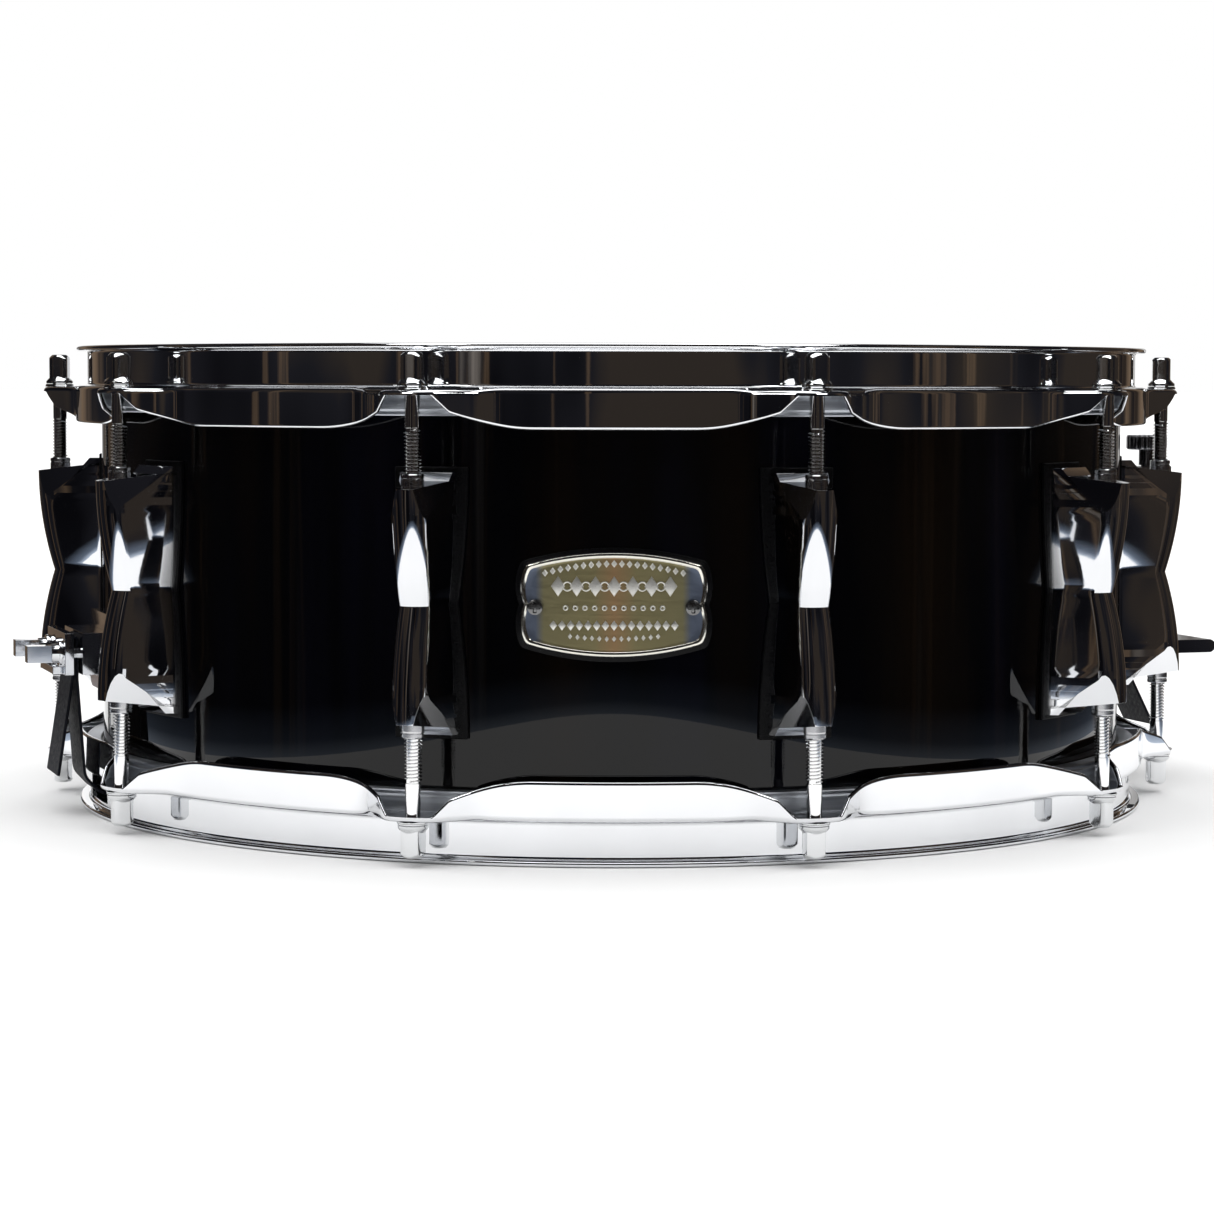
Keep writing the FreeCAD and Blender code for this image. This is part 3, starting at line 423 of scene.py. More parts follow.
def chrome(name, tint, smooth, dull):
    """Plated metal: cloudy polish and tint, faint waves."""
    material = new_material(name, {"Metallic": 1.0})
    roughen(material, noise(material, 45, detail=4.0), smooth, dull)
    darker = tuple(0.94 * value for value in tint)
    tint_by(material, noise(material, 24, detail=5.0), [(0.35, darker), (0.6, tint)])
    bumps(material, noise(material, 110), 0.1, 0.05)
    return material


def brushed(name, tint, stretch, rough):
    """Metal with fine lines across the stretched axis."""
    material = new_material(name, {"Metallic": 1.0})
    lines = noise(material, 900, stretch=stretch, detail=4.0)
    roughen(material, lines, rough * 0.7, rough * 1.3)
    darker = tuple(0.75 * value for value in tint)
    tint_by(material, lines, [(0.3, darker), (0.6, tint)])
    bumps(material, lines, 0.25, 0.03)
    return material


def lacquer():
    """Black gloss lacquer over wood. Faint blue and brown streaks that run up the shell are painted into its
    colour as painted reflections.
    """
    material = new_material("lacquer", {
        "Roughness": 0.4, "Coat Weight": 1.0, "Coat Roughness": 0.012, "Coat IOR": 1.36,
        "Specular IOR Level": 0.0,
    })
    # painted reflection: faint blue and brown streaks running up the shell, in the colour under the clear
    # coat
    streaks = noise(material, 34, stretch=(1, 1, 0.06), detail=5.0)
    tint_by(material, streaks, [
        (0.25, (0.002, 0.002, 0.0045)), (0.5, (0.0008, 0.0008, 0.001)), (0.72, (0.003, 0.0018, 0.001)),
    ])
    bumps(material, noise(material, 160), 0.04, 0.02)
    return material


def rubber():
    """Black moulded gasket."""
    material = new_material("rubber", {"Specular IOR Level": 0.12})
    grain = noise(material, 2600, detail=2.0)
    roughen(material, grain, 0.24, 0.36)
    tint_by(material, noise(material, 60), [
        (0.3, (0.0012, 0.0012, 0.0015)), (0.7, (0.0025, 0.0025, 0.003)),
    ])
    bumps(material, grain, 0.1, 0.02)
    return material


def coated_film():
    """White head with a rough sprayed coat, a little cloudy."""
    material = new_material("coated_film", {"Subsurface Weight": 0.05})
    grain = noise(material, 1400, detail=6.0)
    bumps(material, grain, 0.5, 0.06)
    roughen(material, grain, 0.55, 0.8)
    tint_by(material, noise(material, 14, detail=5.0), [
        (0.3, (0.6, 0.6, 0.575)), (0.7, (0.66, 0.66, 0.645)),
    ])
    return material


def clear_film():
    """Thin hazy film of the snare-side head."""
    material = new_material("clear_film", {
        "Base Color": (0.86, 0.88, 0.9, 1), "Alpha": 0.45, "IOR": 1.5,
    })
    haze = noise(material, 40, detail=4.0)
    roughen(material, haze, 0.12, 0.26)
    bumps(material, noise(material, 300), 0.06, 0.03)
    return material


def woven_nylon():
    """Dark navy ribbon with a fine diagonal rib."""
    material = new_material("woven_nylon", {"Sheen Weight": 0.02, "Specular IOR Level": 0.15})
    turn = node_of(
        material, "ShaderNodeMapping", {"Rotation": (0.0, 0.0, math.radians(35))},
        {"Vector": own_place(material)},
    )
    ribs = node_of(
        material, "ShaderNodeTexWave", {"Scale": 520.0, "Distortion": 0.6, "Detail": 2.0},
        {"Vector": turn.outputs["Vector"]},
    )
    cloud = noise(material, 700, detail=4.0)
    tint_by(material, cloud, [(0.3, (0.001, 0.0012, 0.003)), (0.7, (0.003, 0.004, 0.01))])
    roughen(material, cloud, 0.45, 0.7)
    bumps(material, ribs.outputs["Fac"], 0.6, 0.12)
    return material


def badge_field():
    """Brushed bronze-gold plate that turns blue-grey towards its ends."""
    material = new_material("badge_field", {"Metallic": 0.75})
    out = computed(material, "ABSOLUTE", own_axes(material)["Y"])
    along = spread_of(material, out, 0.0, 0.03)
    warm = noise(material, 55, stretch=(1, 1, 0.1), detail=1.0)
    uneven = computed(material, "MULTIPLY_ADD", warm, 0.12, -0.06)
    tint_by(material, computed(material, "ADD", along, uneven), [
        (0.0, (0.32, 0.2, 0.1)), (0.2, (0.23, 0.2, 0.1)), (0.7, (0.2, 0.18, 0.095)),
        (0.78, (0.1, 0.12, 0.165)),
    ])
    lines = noise(material, 1500, stretch=(1, 0.03, 1), detail=4.0)
    roughen(material, lines, 0.28, 0.5)
    bumps(material, lines, 0.2, 0.02)
    return material


CHROME = chrome("chrome", (0.84, 0.85, 0.87), 0.015, 0.04)
LUG_CHROME = chrome("lug_chrome", (0.78, 0.79, 0.81), 0.02, 0.06)
ROD_CHROME = chrome("rod_chrome", (0.74, 0.75, 0.76), 0.06, 0.14)
FITTING_CHROME = chrome("fitting_chrome", (0.76, 0.77, 0.79), 0.04, 0.1)
HOOP_METAL = brushed("hoop_metal", (0.62, 0.65, 0.7), (0.05, 0.05, 1), 0.4)
NUT_METAL = chrome("nut_metal", (0.6, 0.6, 0.61), 0.12, 0.22)
SCREW_METAL = chrome("screw_metal", (0.5, 0.5, 0.52), 0.14, 0.26)
WIRE_METAL = chrome("wire_metal", (0.62, 0.62, 0.63), 0.12, 0.2)
KNOB_METAL = chrome("knob_metal", (0.22, 0.22, 0.23), 0.16, 0.28)
LACQUER = lacquer()
RUBBER = rubber()
COATED = coated_film()
CLEAR = clear_film()
NYLON = woven_nylon()
BADGE_FIELD = badge_field()
BADGE_SILVER = chrome("badge_silver", (0.82, 0.8, 0.72), 0.1, 0.18)
ORNAMENT_METAL = chrome("ornament_metal", (0.86, 0.85, 0.8), 0.34, 0.46)
ROD_STEEL = chrome("rod_steel", (0.9, 0.9, 0.9), 0.05, 0.1)
BADGE_SCREW_METAL = chrome("badge_screw_metal", (0.2, 0.2, 0.2), 0.2, 0.3)


# Shell and heads

def wood():
    """Pale plywood grain for the shell's inside."""
    material = new_material("wood", {"Roughness": 0.5})
    grain = noise(material, 60, stretch=(1, 1, 9), detail=6.0)
    tint_by(material, grain, [(0.3, (0.42, 0.29, 0.17)), (0.6, (0.58, 0.42, 0.26))])
    bumps(material, grain, 0.1, 0.05)
    return material


def make_shell():
    """Tube with rounded bearing edges. A cell is left open at the vent, under the grommet's flange."""
    bevel = 4.0
    vent = 4.0
    outer = [(SHELL_RADIUS, z) for z in filled([0, vent, EDGE - 2], [vent, 11])]
    crown = rounded([
        (SHELL_RADIUS, EDGE - 2), (SHELL_RADIUS, EDGE), (SHELL_INSIDE + bevel, EDGE),
        (SHELL_INSIDE, EDGE - bevel),
    ], 1.6)
    inner = [(SHELL_INSIDE, z) for z in filled([0, vent, EDGE - bevel], [vent, 11])]
    upper = outer + crown[1:-1] + inner[::-1]
    outline = upper + [(r, -z) for r, z in upper[::-1][1:-1]]
    open_step = math.degrees(vent / SHELL_RADIUS)
    steps = 256
    angles = [open_step + i * (360 - 2 * open_step) / steps for i in range(steps + 1)]
    rows = [[polar(r, math.radians(angle), z) for r, z in outline] for angle in angles]
    points, faces = grid(rows, True, True)
    wide = len(outline)
    last = steps * wide

    def at_vent(face):
        spans_gap = any(v >= last for v in face) and any(v < wide for v in face)
        return spans_gap and all(abs(points[v][2]) <= vent + 0.01 for v in face)

    shape = points, [face for face in faces if not at_vent(face)]
    mesh = mesh_of("shell_look", shape, LACQUER, sharp=50)
    mesh.materials.append(wood())
    inside = (SHELL_INSIDE + 0.5) * MM
    for polygon in mesh.polygons:
        polygon.material_index = int(math.hypot(polygon.center.x, polygon.center.y) < inside)
    place("shell_look", mesh, 180, replaces=["shell"])


def make_heads():
    """Both films: flat over the drum, then a rounded collar down to the flesh hoop."""
    outside = FILM_INSIDE + FILM
    foot = 57.5
    path = rounded([(outside, foot), (outside, EDGE + FILM), (60, EDGE + FILM)], 2.2, 6)
    path += [(r, EDGE + FILM) for r in (30, 0.01)]
    under = [(r - FILM if z < EDGE - 2 else r, z if z < EDGE - 2 else z - FILM) for r, z in path[::-1]]
    shape = lathe(path + under, 192)
    for side, shape, slot, material in (
        ("batter", shape, "head_coated", COATED), ("snare_side", flipped(shape), "head_clear", CLEAR)
    ):
        look(f"{side}_head", shape, material, slot)


def make_flesh_hoops():
    """Rounded metal hoops with a bead along the foot."""
    inner, outer, top, foot = 178.42, 184.2, 63.3, 56.5
    outline = rounded([
        (inner, top), (outer, top), (outer, foot + 1.8), (outer - 0.5, foot + 1.4), (outer, foot),
        (inner, foot), (inner, foot + 3),
    ], 0.7, 3)
    shape = lathe(outline, 256)
    for side, shape in (("batter", shape), ("snare_side", flipped(shape))):
        look(f"{side}_flesh_hoop", shape, HOOP_METAL, "flesh_hoop_metal")


# Counter hoops

def soft_least(a, b, blend):
    """The lesser of two values, rounded where they cross."""
    share = max(blend - abs(a - b), 0) / blend
    return min(a, b) - share * share * blend / 4


def wall_reach(angle):
    """How far out a hoop's skirt or ear stands, at an angle from the ear's middle."""
    c, s = math.cos(angle), abs(math.sin(angle))
    flank = (EAR_SHOULDER + EAR_HALF_WIDTH) / (c + s)
    tip = (EAR_TIP - (EAR_TIP - EAR_SHOULDER) * (EAR_TIP * s / EAR_HALF_WIDTH) ** 2) / c
    shoulder_blend, root_blend = 1.5, 4.0
    return -soft_least(-SKIRT_RADIUS, -soft_least(tip, flank, shoulder_blend), root_blend)


def wall_foot(along):
    """Height of a hoop's lower edge: over the ear's opening, down its side, then along the swoop."""
    along = abs(along)
    if along <= WINDOW_TOP_HALF:
        return EAR_TOP - SHEET
    if along <= WINDOW_FOOT_HALF:
        share = (along - WINDOW_TOP_HALF) / (WINDOW_FOOT_HALF - WINDOW_TOP_HALF)
        return EAR_TOP - SHEET + (WINDOW_FOOT - EAR_TOP + SHEET) * share
    if along < SWOOP_HALF:
        share = (SWOOP_HALF - along) / (SWOOP_HALF - WINDOW_FOOT_HALF)
        return SKIRT_EDGE + (WINDOW_FOOT - SKIRT_EDGE) * share**2
    return SKIRT_EDGE


def hoop_angles():
    """Angles across one ear and half of the skirt to each side, closer where the sheet bends."""
    half_pitch = math.radians(LUG_PITCH / 2)
    middle = SKIRT_RADIUS * half_pitch - GATE_HALF_WIDTH
    stops = [0, 5.5, 9.0, 11.0, 12.5, 18.5, 22.5, SWOOP_HALF + 2, middle, SKIRT_RADIUS * math.sin(half_pitch)]
    angles = []
    for along in filled(stops, [1.4, 0.35, 0.7, 0.4, 1.2, 0.5, 1.7, 3, 4]):
        angle = along / SKIRT_RADIUS
        for _ in range(12):    # until the angle agrees with the reach there
            angle = math.asin(along / wall_reach(angle))
        angles.append(angle)
    return [-angle for angle in angles[:0:-1]] + angles[:-1]


def offset_side(path, depth):
    """The path's points moved to its right by a depth."""
    legs = [(Vector(b) - Vector(a)).normalized() for a, b in zip(path, path[1:])]
    result = []
    for point, arriving, leaving in zip(path, legs[:1] + legs, legs + legs[-1:]):
        middle = (arriving + leaving).normalized()
        side = Vector((middle.y, -middle.x))
        stretch = depth / max(0.5, middle.dot(leaving))
        result.append((point[0] + side.x * stretch, point[1] + side.y * stretch))
    return result


def bend_points(centre, radius, start, end, steps):
    """Points of an arc in radius and height, between two angles in degrees."""
    points = []
    for i in range(steps + 1):
        angle = math.radians(start + (end - start) * i / steps)
        points.append((centre[0] + radius * math.cos(angle), centre[1] + radius * math.sin(angle)))
    return points


def hoop_section(angle):
    """The sheet's closed section at an angle from an ear's middle, and the places of its gate's edges.

    It runs under the lip, down the collar, over the step and down the wall, then back along the other side.
    """
    reach = wall_reach(angle)
    nearby, deepest, ear_rise = 0.002, 2.1, 2.5
    slant = (wall_reach(angle + nearby) - wall_reach(angle - nearby)) / (2 * nearby) / reach
    depth = min(SHEET * math.hypot(1, slant), deepest)
    rise = min(1.0, max(0.0, (reach - SKIRT_RADIUS) / ear_rise))
    top = STEP_TOP - (STEP_TOP - EAR_TOP) * rise
    foot = wall_foot(reach * math.sin(angle))
    round_off = SHEET / 2
    small, support = 0.9, 0.3    # a bend's radius, and the row beside a bend that keeps it crisp
    path = [(LIP_RADIUS - round_off, RIM - SHEET)]
    path += bend_points((COLLAR_RADIUS + small, RIM - SHEET - small), small, 90, 180, 4)
    path += [(COLLAR_RADIUS, RIM - SHEET - small - support)]
    gate_top = len(path)
    path += [(COLLAR_RADIUS, z) for z in (GATE_TOP, 70.0, STEP_TOP + small + support)]
    gate_foot = len(path)
    path += bend_points((COLLAR_RADIUS + small, STEP_TOP + small), small, 180, 270, 4)
    shoulder = reach - SHEET
    near = min(186.2, shoulder - support)
    path += [(184.2, STEP_TOP), (near, top), ((near + shoulder) / 2, top)]
    wall_top = top - SHEET
    path += bend_points((shoulder, wall_top), SHEET, 90, 0, 6)
    back = offset_side(path, SHEET)
    back[-1] = (reach - depth, wall_top)
    end = min(foot + round_off, wall_top)
    hold = min(support, (wall_top - end) / 3)
    levels = [wall_top - hold, end + hold, end]
    front_wall = [(reach, z) for z in levels]
    back_wall = [(reach - depth, z) for z in levels]
    edge = []
    for i in range(1, 6):
        turn = math.pi * i / 6
        edge.append((reach - depth / 2 * (1 - math.cos(turn)), end - (end - foot) * math.sin(turn)))
    lip = bend_points((LIP_RADIUS - round_off, RIM - round_off), round_off, 90, -90, 6)[1:-1]
    section = path + front_wall + edge + back_wall[::-1] + back[::-1] + lip
    return section, (gate_top, gate_foot), 2 * (len(path) + len(front_wall)) + len(edge) - 1


def in_gate(bearing):
    """Whether a bearing is inside one of the two openings for the straps."""
    reach = math.degrees(GATE_HALF_WIDTH / SKIRT_RADIUS) + 0.01
    return any(abs((bearing - gate + 180) % 360 - 180) <= reach for gate in (BUTT_BEARING, STRAINER_BEARING))


def hoop_shape(gates):
    """The whole hoop. A snare-side hoop's collar is open where the straps pass."""
    rows, bearings = [], []
    angles = hoop_angles()
    sections = [hoop_section(angle) for angle in angles]
    for bearing in lug_bearings():
        for angle, (section, _, _) in zip(angles, sections):
            turn = math.radians(bearing - 90) + angle
            rows.append([polar(r, turn, z) for r, z in section])
            bearings.append(bearing + math.degrees(angle))
    points, faces = grid(rows, True, True)
    if not gates:
        return points, faces
    _, (high, low), twins = sections[0]
    wide, count = len(rows[0]), len(rows)
    open_rows = {i for i in range(count) if in_gate(bearings[i]) and in_gate(bearings[(i + 1) % count])}
    open_columns = set(range(high, low)) | set(range(twins - low, twins - high))
    kept = [
        face for face in faces
        if face[0] // wide not in open_rows or face[0] % wide not in open_columns
    ]
    for i in open_rows:
        here, following = i * wide, (i + 1) % count * wide
        for column in (high, low):
            other = twins - column
            kept.append((here + column, following + column, following + other, here + other))
        for row, neighbour in ((here, i - 1), (following, i + 1)):
            if neighbour % count not in open_rows:
                for column in range(high, low):
                    other = row + twins - column
                    kept.append((row + column, row + column + 1, other - 1, other))
    return points, kept


def make_hoops():
    """Batter hoop and snare-side hoop."""
    for side, gates in (("batter", False), ("snare_side", True)):
        shape = hoop_shape(gates)
        if gates:
            shape = flipped(shape)
        look(f"{side}_hoop", shape, CHROME, "hoop_chrome", sharp=60)


# Tension rods

def rod_shape():
    """Square-headed rod about its own axis: turned crown, coned flange, shank and a real thread."""
    half, flange, shank, thread = 3.15, 4.7, 2.375, 2.75
    top, around, pitch = 75.6, 32, 1.058
    corner_round = half * math.sqrt(2) - 0.45

    def square(angle):
        side = half / max(abs(math.cos(angle)), abs(math.sin(angle)))
        return soft_least(side, corner_round, 0.5)

    def crown(angle):
        return top - 0.1 - max(0.0, square(angle) - 2.6) * 0.95

    def cone(angle):
        return 67.9 - (square(angle) - half) * 0.84

    profile = [
        (0.3, top - 0.35), (1.3, top - 0.3), (1.6, top), (2.3, top), (2.6, top - 0.1),
        (square, crown), (square, lambda a: crown(a) - 0.3),
        (square, lambda a: cone(a) + 0.4), (square, cone),
        (lambda a: square(a) * 0.4 + flange * 0.6, 66.9), (flange - 0.15, 66.5),
        (flange, 66.3), (flange, 65.75), (flange - 0.2, 65.52), (shank + 0.1, 65.5),
        (shank, 65.3), (shank, 65.0), (shank, 53.4), (shank, 53.1),
        (shank - 0.25, 53.0), (shank - 0.25, 35.2), (shank, 35.0), (shank, 14.4), (1.7, 14.0), (0.2, 14.0),
    ]
    rows = [ring(radius, height, around) for radius, height in profile]
    return joined([grid(rows, False, True), thread_ridge(shank - 0.3, thread, pitch, 52.4, 35.4)])


def thread_ridge(core, crest, pitch, top, foot):
    """The ridge of a right-hand thread."""
    around = 24
    rows = []
    for i in range(int((top - foot) / pitch * around) + 1):
        angle = FULL_TURN * i / around
        z = top - pitch * i / around
        rows.append([
            (r * math.cos(angle), -r * math.sin(angle), z + lift * pitch)
            for r, lift in ((core, 0.34), (crest, 0.04), (crest, -0.04), (core, -0.34))
        ])
    return grid(rows)


def make_rods():
    """Twenty rods: one mesh for each end, each rod on its own body."""
    shape = moved(rod_shape(), lambda x, y, z: (x, -y, z))
    meshes = {
        "batter": mesh_of("batter_rod_look", shape, ROD_CHROME, sharp=38),
        "snare_side": mesh_of("snare_side_rod_look", flipped(shape), ROD_CHROME, sharp=38),
    }
    for mesh in meshes.values():
        mesh.materials.append(ROD_STEEL)
        for polygon in mesh.polygons:
            polygon.material_index = int(abs(polygon.center.z) < 65.4 * MM)
    for number, bearing in enumerate(lug_bearings(), start=1):
        for side, mesh in meshes.items():
            name = f"{side}_rod_{number:02d}"
            rod = place(f"{name}_look", mesh, bearing, replaces=[name], rides=False)
            stand_off(rod, ROD_CIRCLE, bearing)
            rod.rotation_euler.z += math.radians((number * 37 + (side == "batter") * 11) % 30 - 15)
            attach(rod, name)


def make_washers():
    """Two thin washers under each rod's flange."""
    outline = []
    for foot, reach in ((64.42, 5.0), (64.92, 4.85)):
        near = reach - 0.1
        outline += [(near, foot), (reach, foot + 0.12), (reach, foot + 0.33), (near, foot + 0.45)]
    outline += [(3.0, 65.37), (3.0, 64.42)]
    look("rod_washers", onto_rod_circle(lathe(outline, 40)), ROD_CHROME, "nut_metal", sharp=35)


# Lugs

def lug_section(height):
    """Level section of a lug: upright base, slanting flanks, round barrel. Smallest at the waist."""
    shrunk = max(0.0, 1 - abs(height) / LUG_NOSE_TOP) ** 2
    nose = LUG_NOSE_END - 5.4 * shrunk
    barrel = 6.0 - 0.7 * shrunk
    base = LUG_BASE_END - 2.2 * shrunk
    side, sunk = LUG_SEAT + LUG_SIDE, LUG_SEAT - 0.3
    section = [(sunk, -base), (side, -base)]
    steps = 16
    for i in range(steps + 1):
        angle = math.pi * (i / steps - 0.5)
        section.append((nose - barrel + barrel * math.cos(angle), barrel * math.sin(angle)))
    section += [(side, base), (sunk, base)]
    return [(x, y, height) for x, y in section]


def lug_block(low, high):
    """The lug's swept body between two heights, closed at both ends."""
    heights = filled([low, min(0, high), high], [2.5, 2.5]) if low < 0 < high else filled([low, high], [3])
    rows = [lug_section(height) for height in heights]
    points, faces = grid(rows, False, True)
    wide = len(rows[0])
    last = len(points) - wide
    return points, faces + [tuple(range(wide))[::-1], tuple(range(last, last + wide))]


def sliced(work, point, normal):
    """Cuts away what lies beyond a plane and closes the cut."""
    everything = work.verts[:] + work.edges[:] + work.faces[:]
    found = bmesh.ops.bisect_plane(
        work, geom=everything, dist=1e-4, plane_co=point, plane_no=normal, clear_outer=True
    )
    edges = [item for item in found["geom_cut"] if isinstance(item, bmesh.types.BMEdge)]
    bmesh.ops.contextual_create(work, geom=edges)


def cut_lug(shape, planes):
    """A lug's shape in millimetres, cut by planes."""
    work = editable(shape)
    bmesh.ops.recalc_face_normals(work, faces=work.faces)
    for point, normal in planes:
        sliced(work, point, normal)
    work.verts.index_update()
    result = [tuple(v.co) for v in work.verts], [tuple(v.index for v in face.verts) for face in work.faces]
    work.free()
    return result


def facet_planes(end):
    """The planes of the two corner facets at one end, up (1) or down (-1)."""
    planes = []
    for side in (-1, 1):
        corner = Vector((LUG_SEAT + LUG_SIDE, side * LUG_BASE_END, end * 39.0))
        low = Vector((196.0, side * 6.0, end * 27.2))
        high = Vector((197.0, side * 4.2, end * LUG_NOSE_TOP))
        normal = (high - corner).cross(low - corner) * side * end
        planes.append((low, normal))
    return planes


def end_plane(end):
    """The gentle slope across a lug's end."""
    return Vector((LUG_NOSE_END, 0, end * LUG_NOSE_TOP)), Vector((2.0, 0, end * 16.6))


def make_lugs():
    """Ten castings: the waisted body, and the step next to the shell at each end."""
    body = cut_lug(
        lug_block(-LUG_TOP, LUG_TOP),
        facet_planes(1) + facet_planes(-1) + [end_plane(1), end_plane(-1)],
    )
    step_height, step_depth = 8, 3.5
    steps = []
    for end in (-1, 1):
        block = lug_block(LUG_TOP - step_height, LUG_TOP)
        block = block if end > 0 else flipped(block)
        slope = (Vector((LUG_SEAT + step_depth, 0, end * LUG_TOP)), Vector((1, 0, end * 0.9)))
        steps.append(cut_lug(block, facet_planes(end) + [slope]))
    facet_angle = 14
    pattern = mesh_of("lug_look", joined([body] + steps), LUG_CHROME, weld=False, sharp=facet_angle)
    edges = {edge.key: edge for edge in pattern.edges}
    for polygon in pattern.polygons:
        if len(polygon.vertices) > 4:
            for key in polygon.edge_keys:
                edges[key].use_edge_sharp = True
    for number, bearing in enumerate(lug_bearings(), start=1):
        name = f"lug_{number:02d}"
        mesh = pattern.copy()
        mesh.transform(Matrix.Rotation(math.radians(bearing - 90), 4, "Z"))
        lug = place(f"{name}_look", mesh, replaces=[name])
        soften(lug, 0.3, 3, angle=facet_angle)


def make_gaskets():
    """Waisted gaskets, curved to the shell."""
    top, waist, middle, end = 41.2, 8.6, 11.0, 11.8
    slope, curve = 4 * middle - 3 * waist - end, 2 * end + 2 * waist - 4 * middle
    high, wide = 14, 5
    rows = []
    for i in range(-high, high + 1):
        share = abs(i) / high
        half = waist + slope * share + curve * share**2
        angles = [math.asin(half * k / wide / LUG_SEAT) for k in range(-wide, wide + 1)]
        rows.append([polar(LUG_SEAT, angle, top * i / high) for angle in angles])
    points, faces = grid(rows)
    shape = at_lugs((points, [face[::-1] for face in faces]))
    gaskets = look("lug_gaskets", shape, RUBBER, "gasket_rubber", fix_normals=False)
    thicken(gaskets, GASKET_DEPTH, offset=1.0)
    soften(gaskets, 0.5, 3)


def make_nuts():
    """The necks of the swivel nuts, the part that shows at the lugs' ends."""
    outline = [
        (2.8, 30), (3.5, 30), (3.5, 37.3), (3.5, 37.6), (3.45, 37.75), (3.3, 37.8), (3.3, 38.1),
        (3.5, 38.2), (3.5, 39.1), (3.25, 39.4), (2.9, 39.4), (2.8, 39.2),
    ]
    look("swivel_nuts", onto_rod_circle(lathe(outline, 36)), NUT_METAL, "nut_metal", sharp=30)


# Badge and vent

def on_shell(along, height, radius):
    """A point of the badge: so far along the shell, so high, and at a radius."""
    return polar(radius, math.asin(along / SHELL_RADIUS), height)


def arc_through(start, middle, end, steps):
    """Points of the arc through three points, without the first."""
    a, b, c = Vector(start), Vector(middle), Vector(end)
    turn = 2 * ((a - c).x * (b - c).y - (a - c).y * (b - c).x)
    square_a = a.length_squared - c.length_squared
    square_b = b.length_squared - c.length_squared
    centre = Vector((
        (square_a * (b - c).y - square_b * (a - c).y) / turn,
        (square_b * (a - c).x - square_a * (b - c).x) / turn,
    ))
    sweep = (a - centre).angle_signed(c - centre)
    points = []
    for i in range(1, steps + 1):
        spoke = (a - centre).copy()
        spoke.rotate(Matrix.Rotation(-sweep * i / steps, 2))
        points.append(tuple(centre + spoke))
    return points


def badge_outline():
    """The badge's outline as points from its middle: arched top and bottom, sides pinched at the screws."""
    waist, corner = (28.6, 0), (28.0, 13.0)
    side = [waist] + arc_through(waist, (BADGE_HALF_WIDTH, 7.8), corner, 10)
    arch = arc_through(corner, (0, BADGE_HALF_HEIGHT), (-corner[0], corner[1]), 28)[:14]
    quarter = side[:-3] + rounded([side[-3], corner, arch[1]], 3.0, 6) + arch[2:]
    top = quarter + [(-y, z) for y, z in quarter[::-1][1:]]
    return top + [(y, -z) for y, z in top[::-1][1:-1]]


def make_badge():
    """Plate with a dark edge, a raised silver line and a brushed field."""
    outline = badge_outline()
    rows = []
    bands = [
        (0.0, 0.02), (0.0, 0.3), (0.25, 0.42), (1.45, 0.42), (1.6, 0.6), (1.85, 0.8), (2.25, 0.86),
        (2.65, 0.8), (2.9, 0.6), (3.05, 0.45),
    ]
    for inset, proud in bands:
        wide, high = 1 - inset / BADGE_HALF_WIDTH, 1 - inset / BADGE_HALF_HEIGHT
        rows.append([on_shell(y * wide, z * high, SHELL_RADIUS + proud) for y, z in outline])
    field = [
        [on_shell(y * share, z * share, SHELL_RADIUS + 0.45) for y, z in outline]
        for share in (0.8, 0.6, 0.4, 0.2, 0)
    ]
    shape = grid(rows + field, False, True)
    mesh = mesh_of("badge_look", shape, BADGE_SILVER, sharp=60)
    mesh.materials.append(RUBBER)
    mesh.materials.append(BADGE_FIELD)
    count = len(outline)
    for index, polygon in enumerate(mesh.polygons):
        band = index // count
        polygon.material_index = 1 if band < 4 else 2 if band >= len(bands) - 1 else 0
    place("badge_look", mesh, 0, replaces=["badge"])
    make_ornament()


def lozenge(along, height, half_along, half_height):
    """A small raised diamond on the badge."""
    rim = [(1, 0), (0, 1), (-1, 0), (0, -1)]
    proud = 0.85
    rows = []
    for share, depth in ((1.0, 0.42), (0.92, proud - 0.1), (0.7, proud), (0.02, proud)):
        rows.append([
            on_shell(along + a * half_along * share, height + b * half_height * share, SHELL_RADIUS + depth)
            for a, b in rim
        ])
    return grid(rows, False, True)


def raised_ring(along, height, radius):
    """A small raised ring on the badge."""
    rows = []
    for inset, depth in ((0.0, 0.42), (0.12, 0.8), (0.3, 0.86), (0.5, 0.8), (0.6, 0.42)):
        reach = radius - inset
        rows.append([
            on_shell(along + reach * math.cos(t), height + reach * math.sin(t), SHELL_RADIUS + depth)
            for t in [FULL_TURN * i / 24 for i in range(24)]
        ])
    return grid(rows, False, True)


def make_ornament():
    """Plain geometric ornament: rows of small diamonds and rings, and rings between larger diamonds."""
    pitch, level = 5.6, 5.6          # of the large row
    shapes = [lozenge(i * 2.3, 12.4 - 0.035 * i * i, 0.9, 1.15) for i in range(-9, 10)]
    shapes += [lozenge(i * pitch, level, 2.2, 3.2) for i in range(-3, 4)]
    shapes += [raised_ring((i + 0.5) * pitch, level, 1.6) for i in range(-3, 3)]
    shapes += [raised_ring(i * 2.9, -0.9, 0.9) for i in range(-5, 6)]
    shapes += [lozenge(i * 2.6, -6.2, 1.2, 1.6) for i in range(-7, 8)]
    shapes += [lozenge(i * 2.2, -10.2 + 0.02 * i * i, 0.7, 0.9) for i in range(-6, 7)]
    mesh = mesh_of("badge_ornament", joined(shapes), ORNAMENT_METAL, sharp=30)
    place("badge_ornament", mesh, 0)


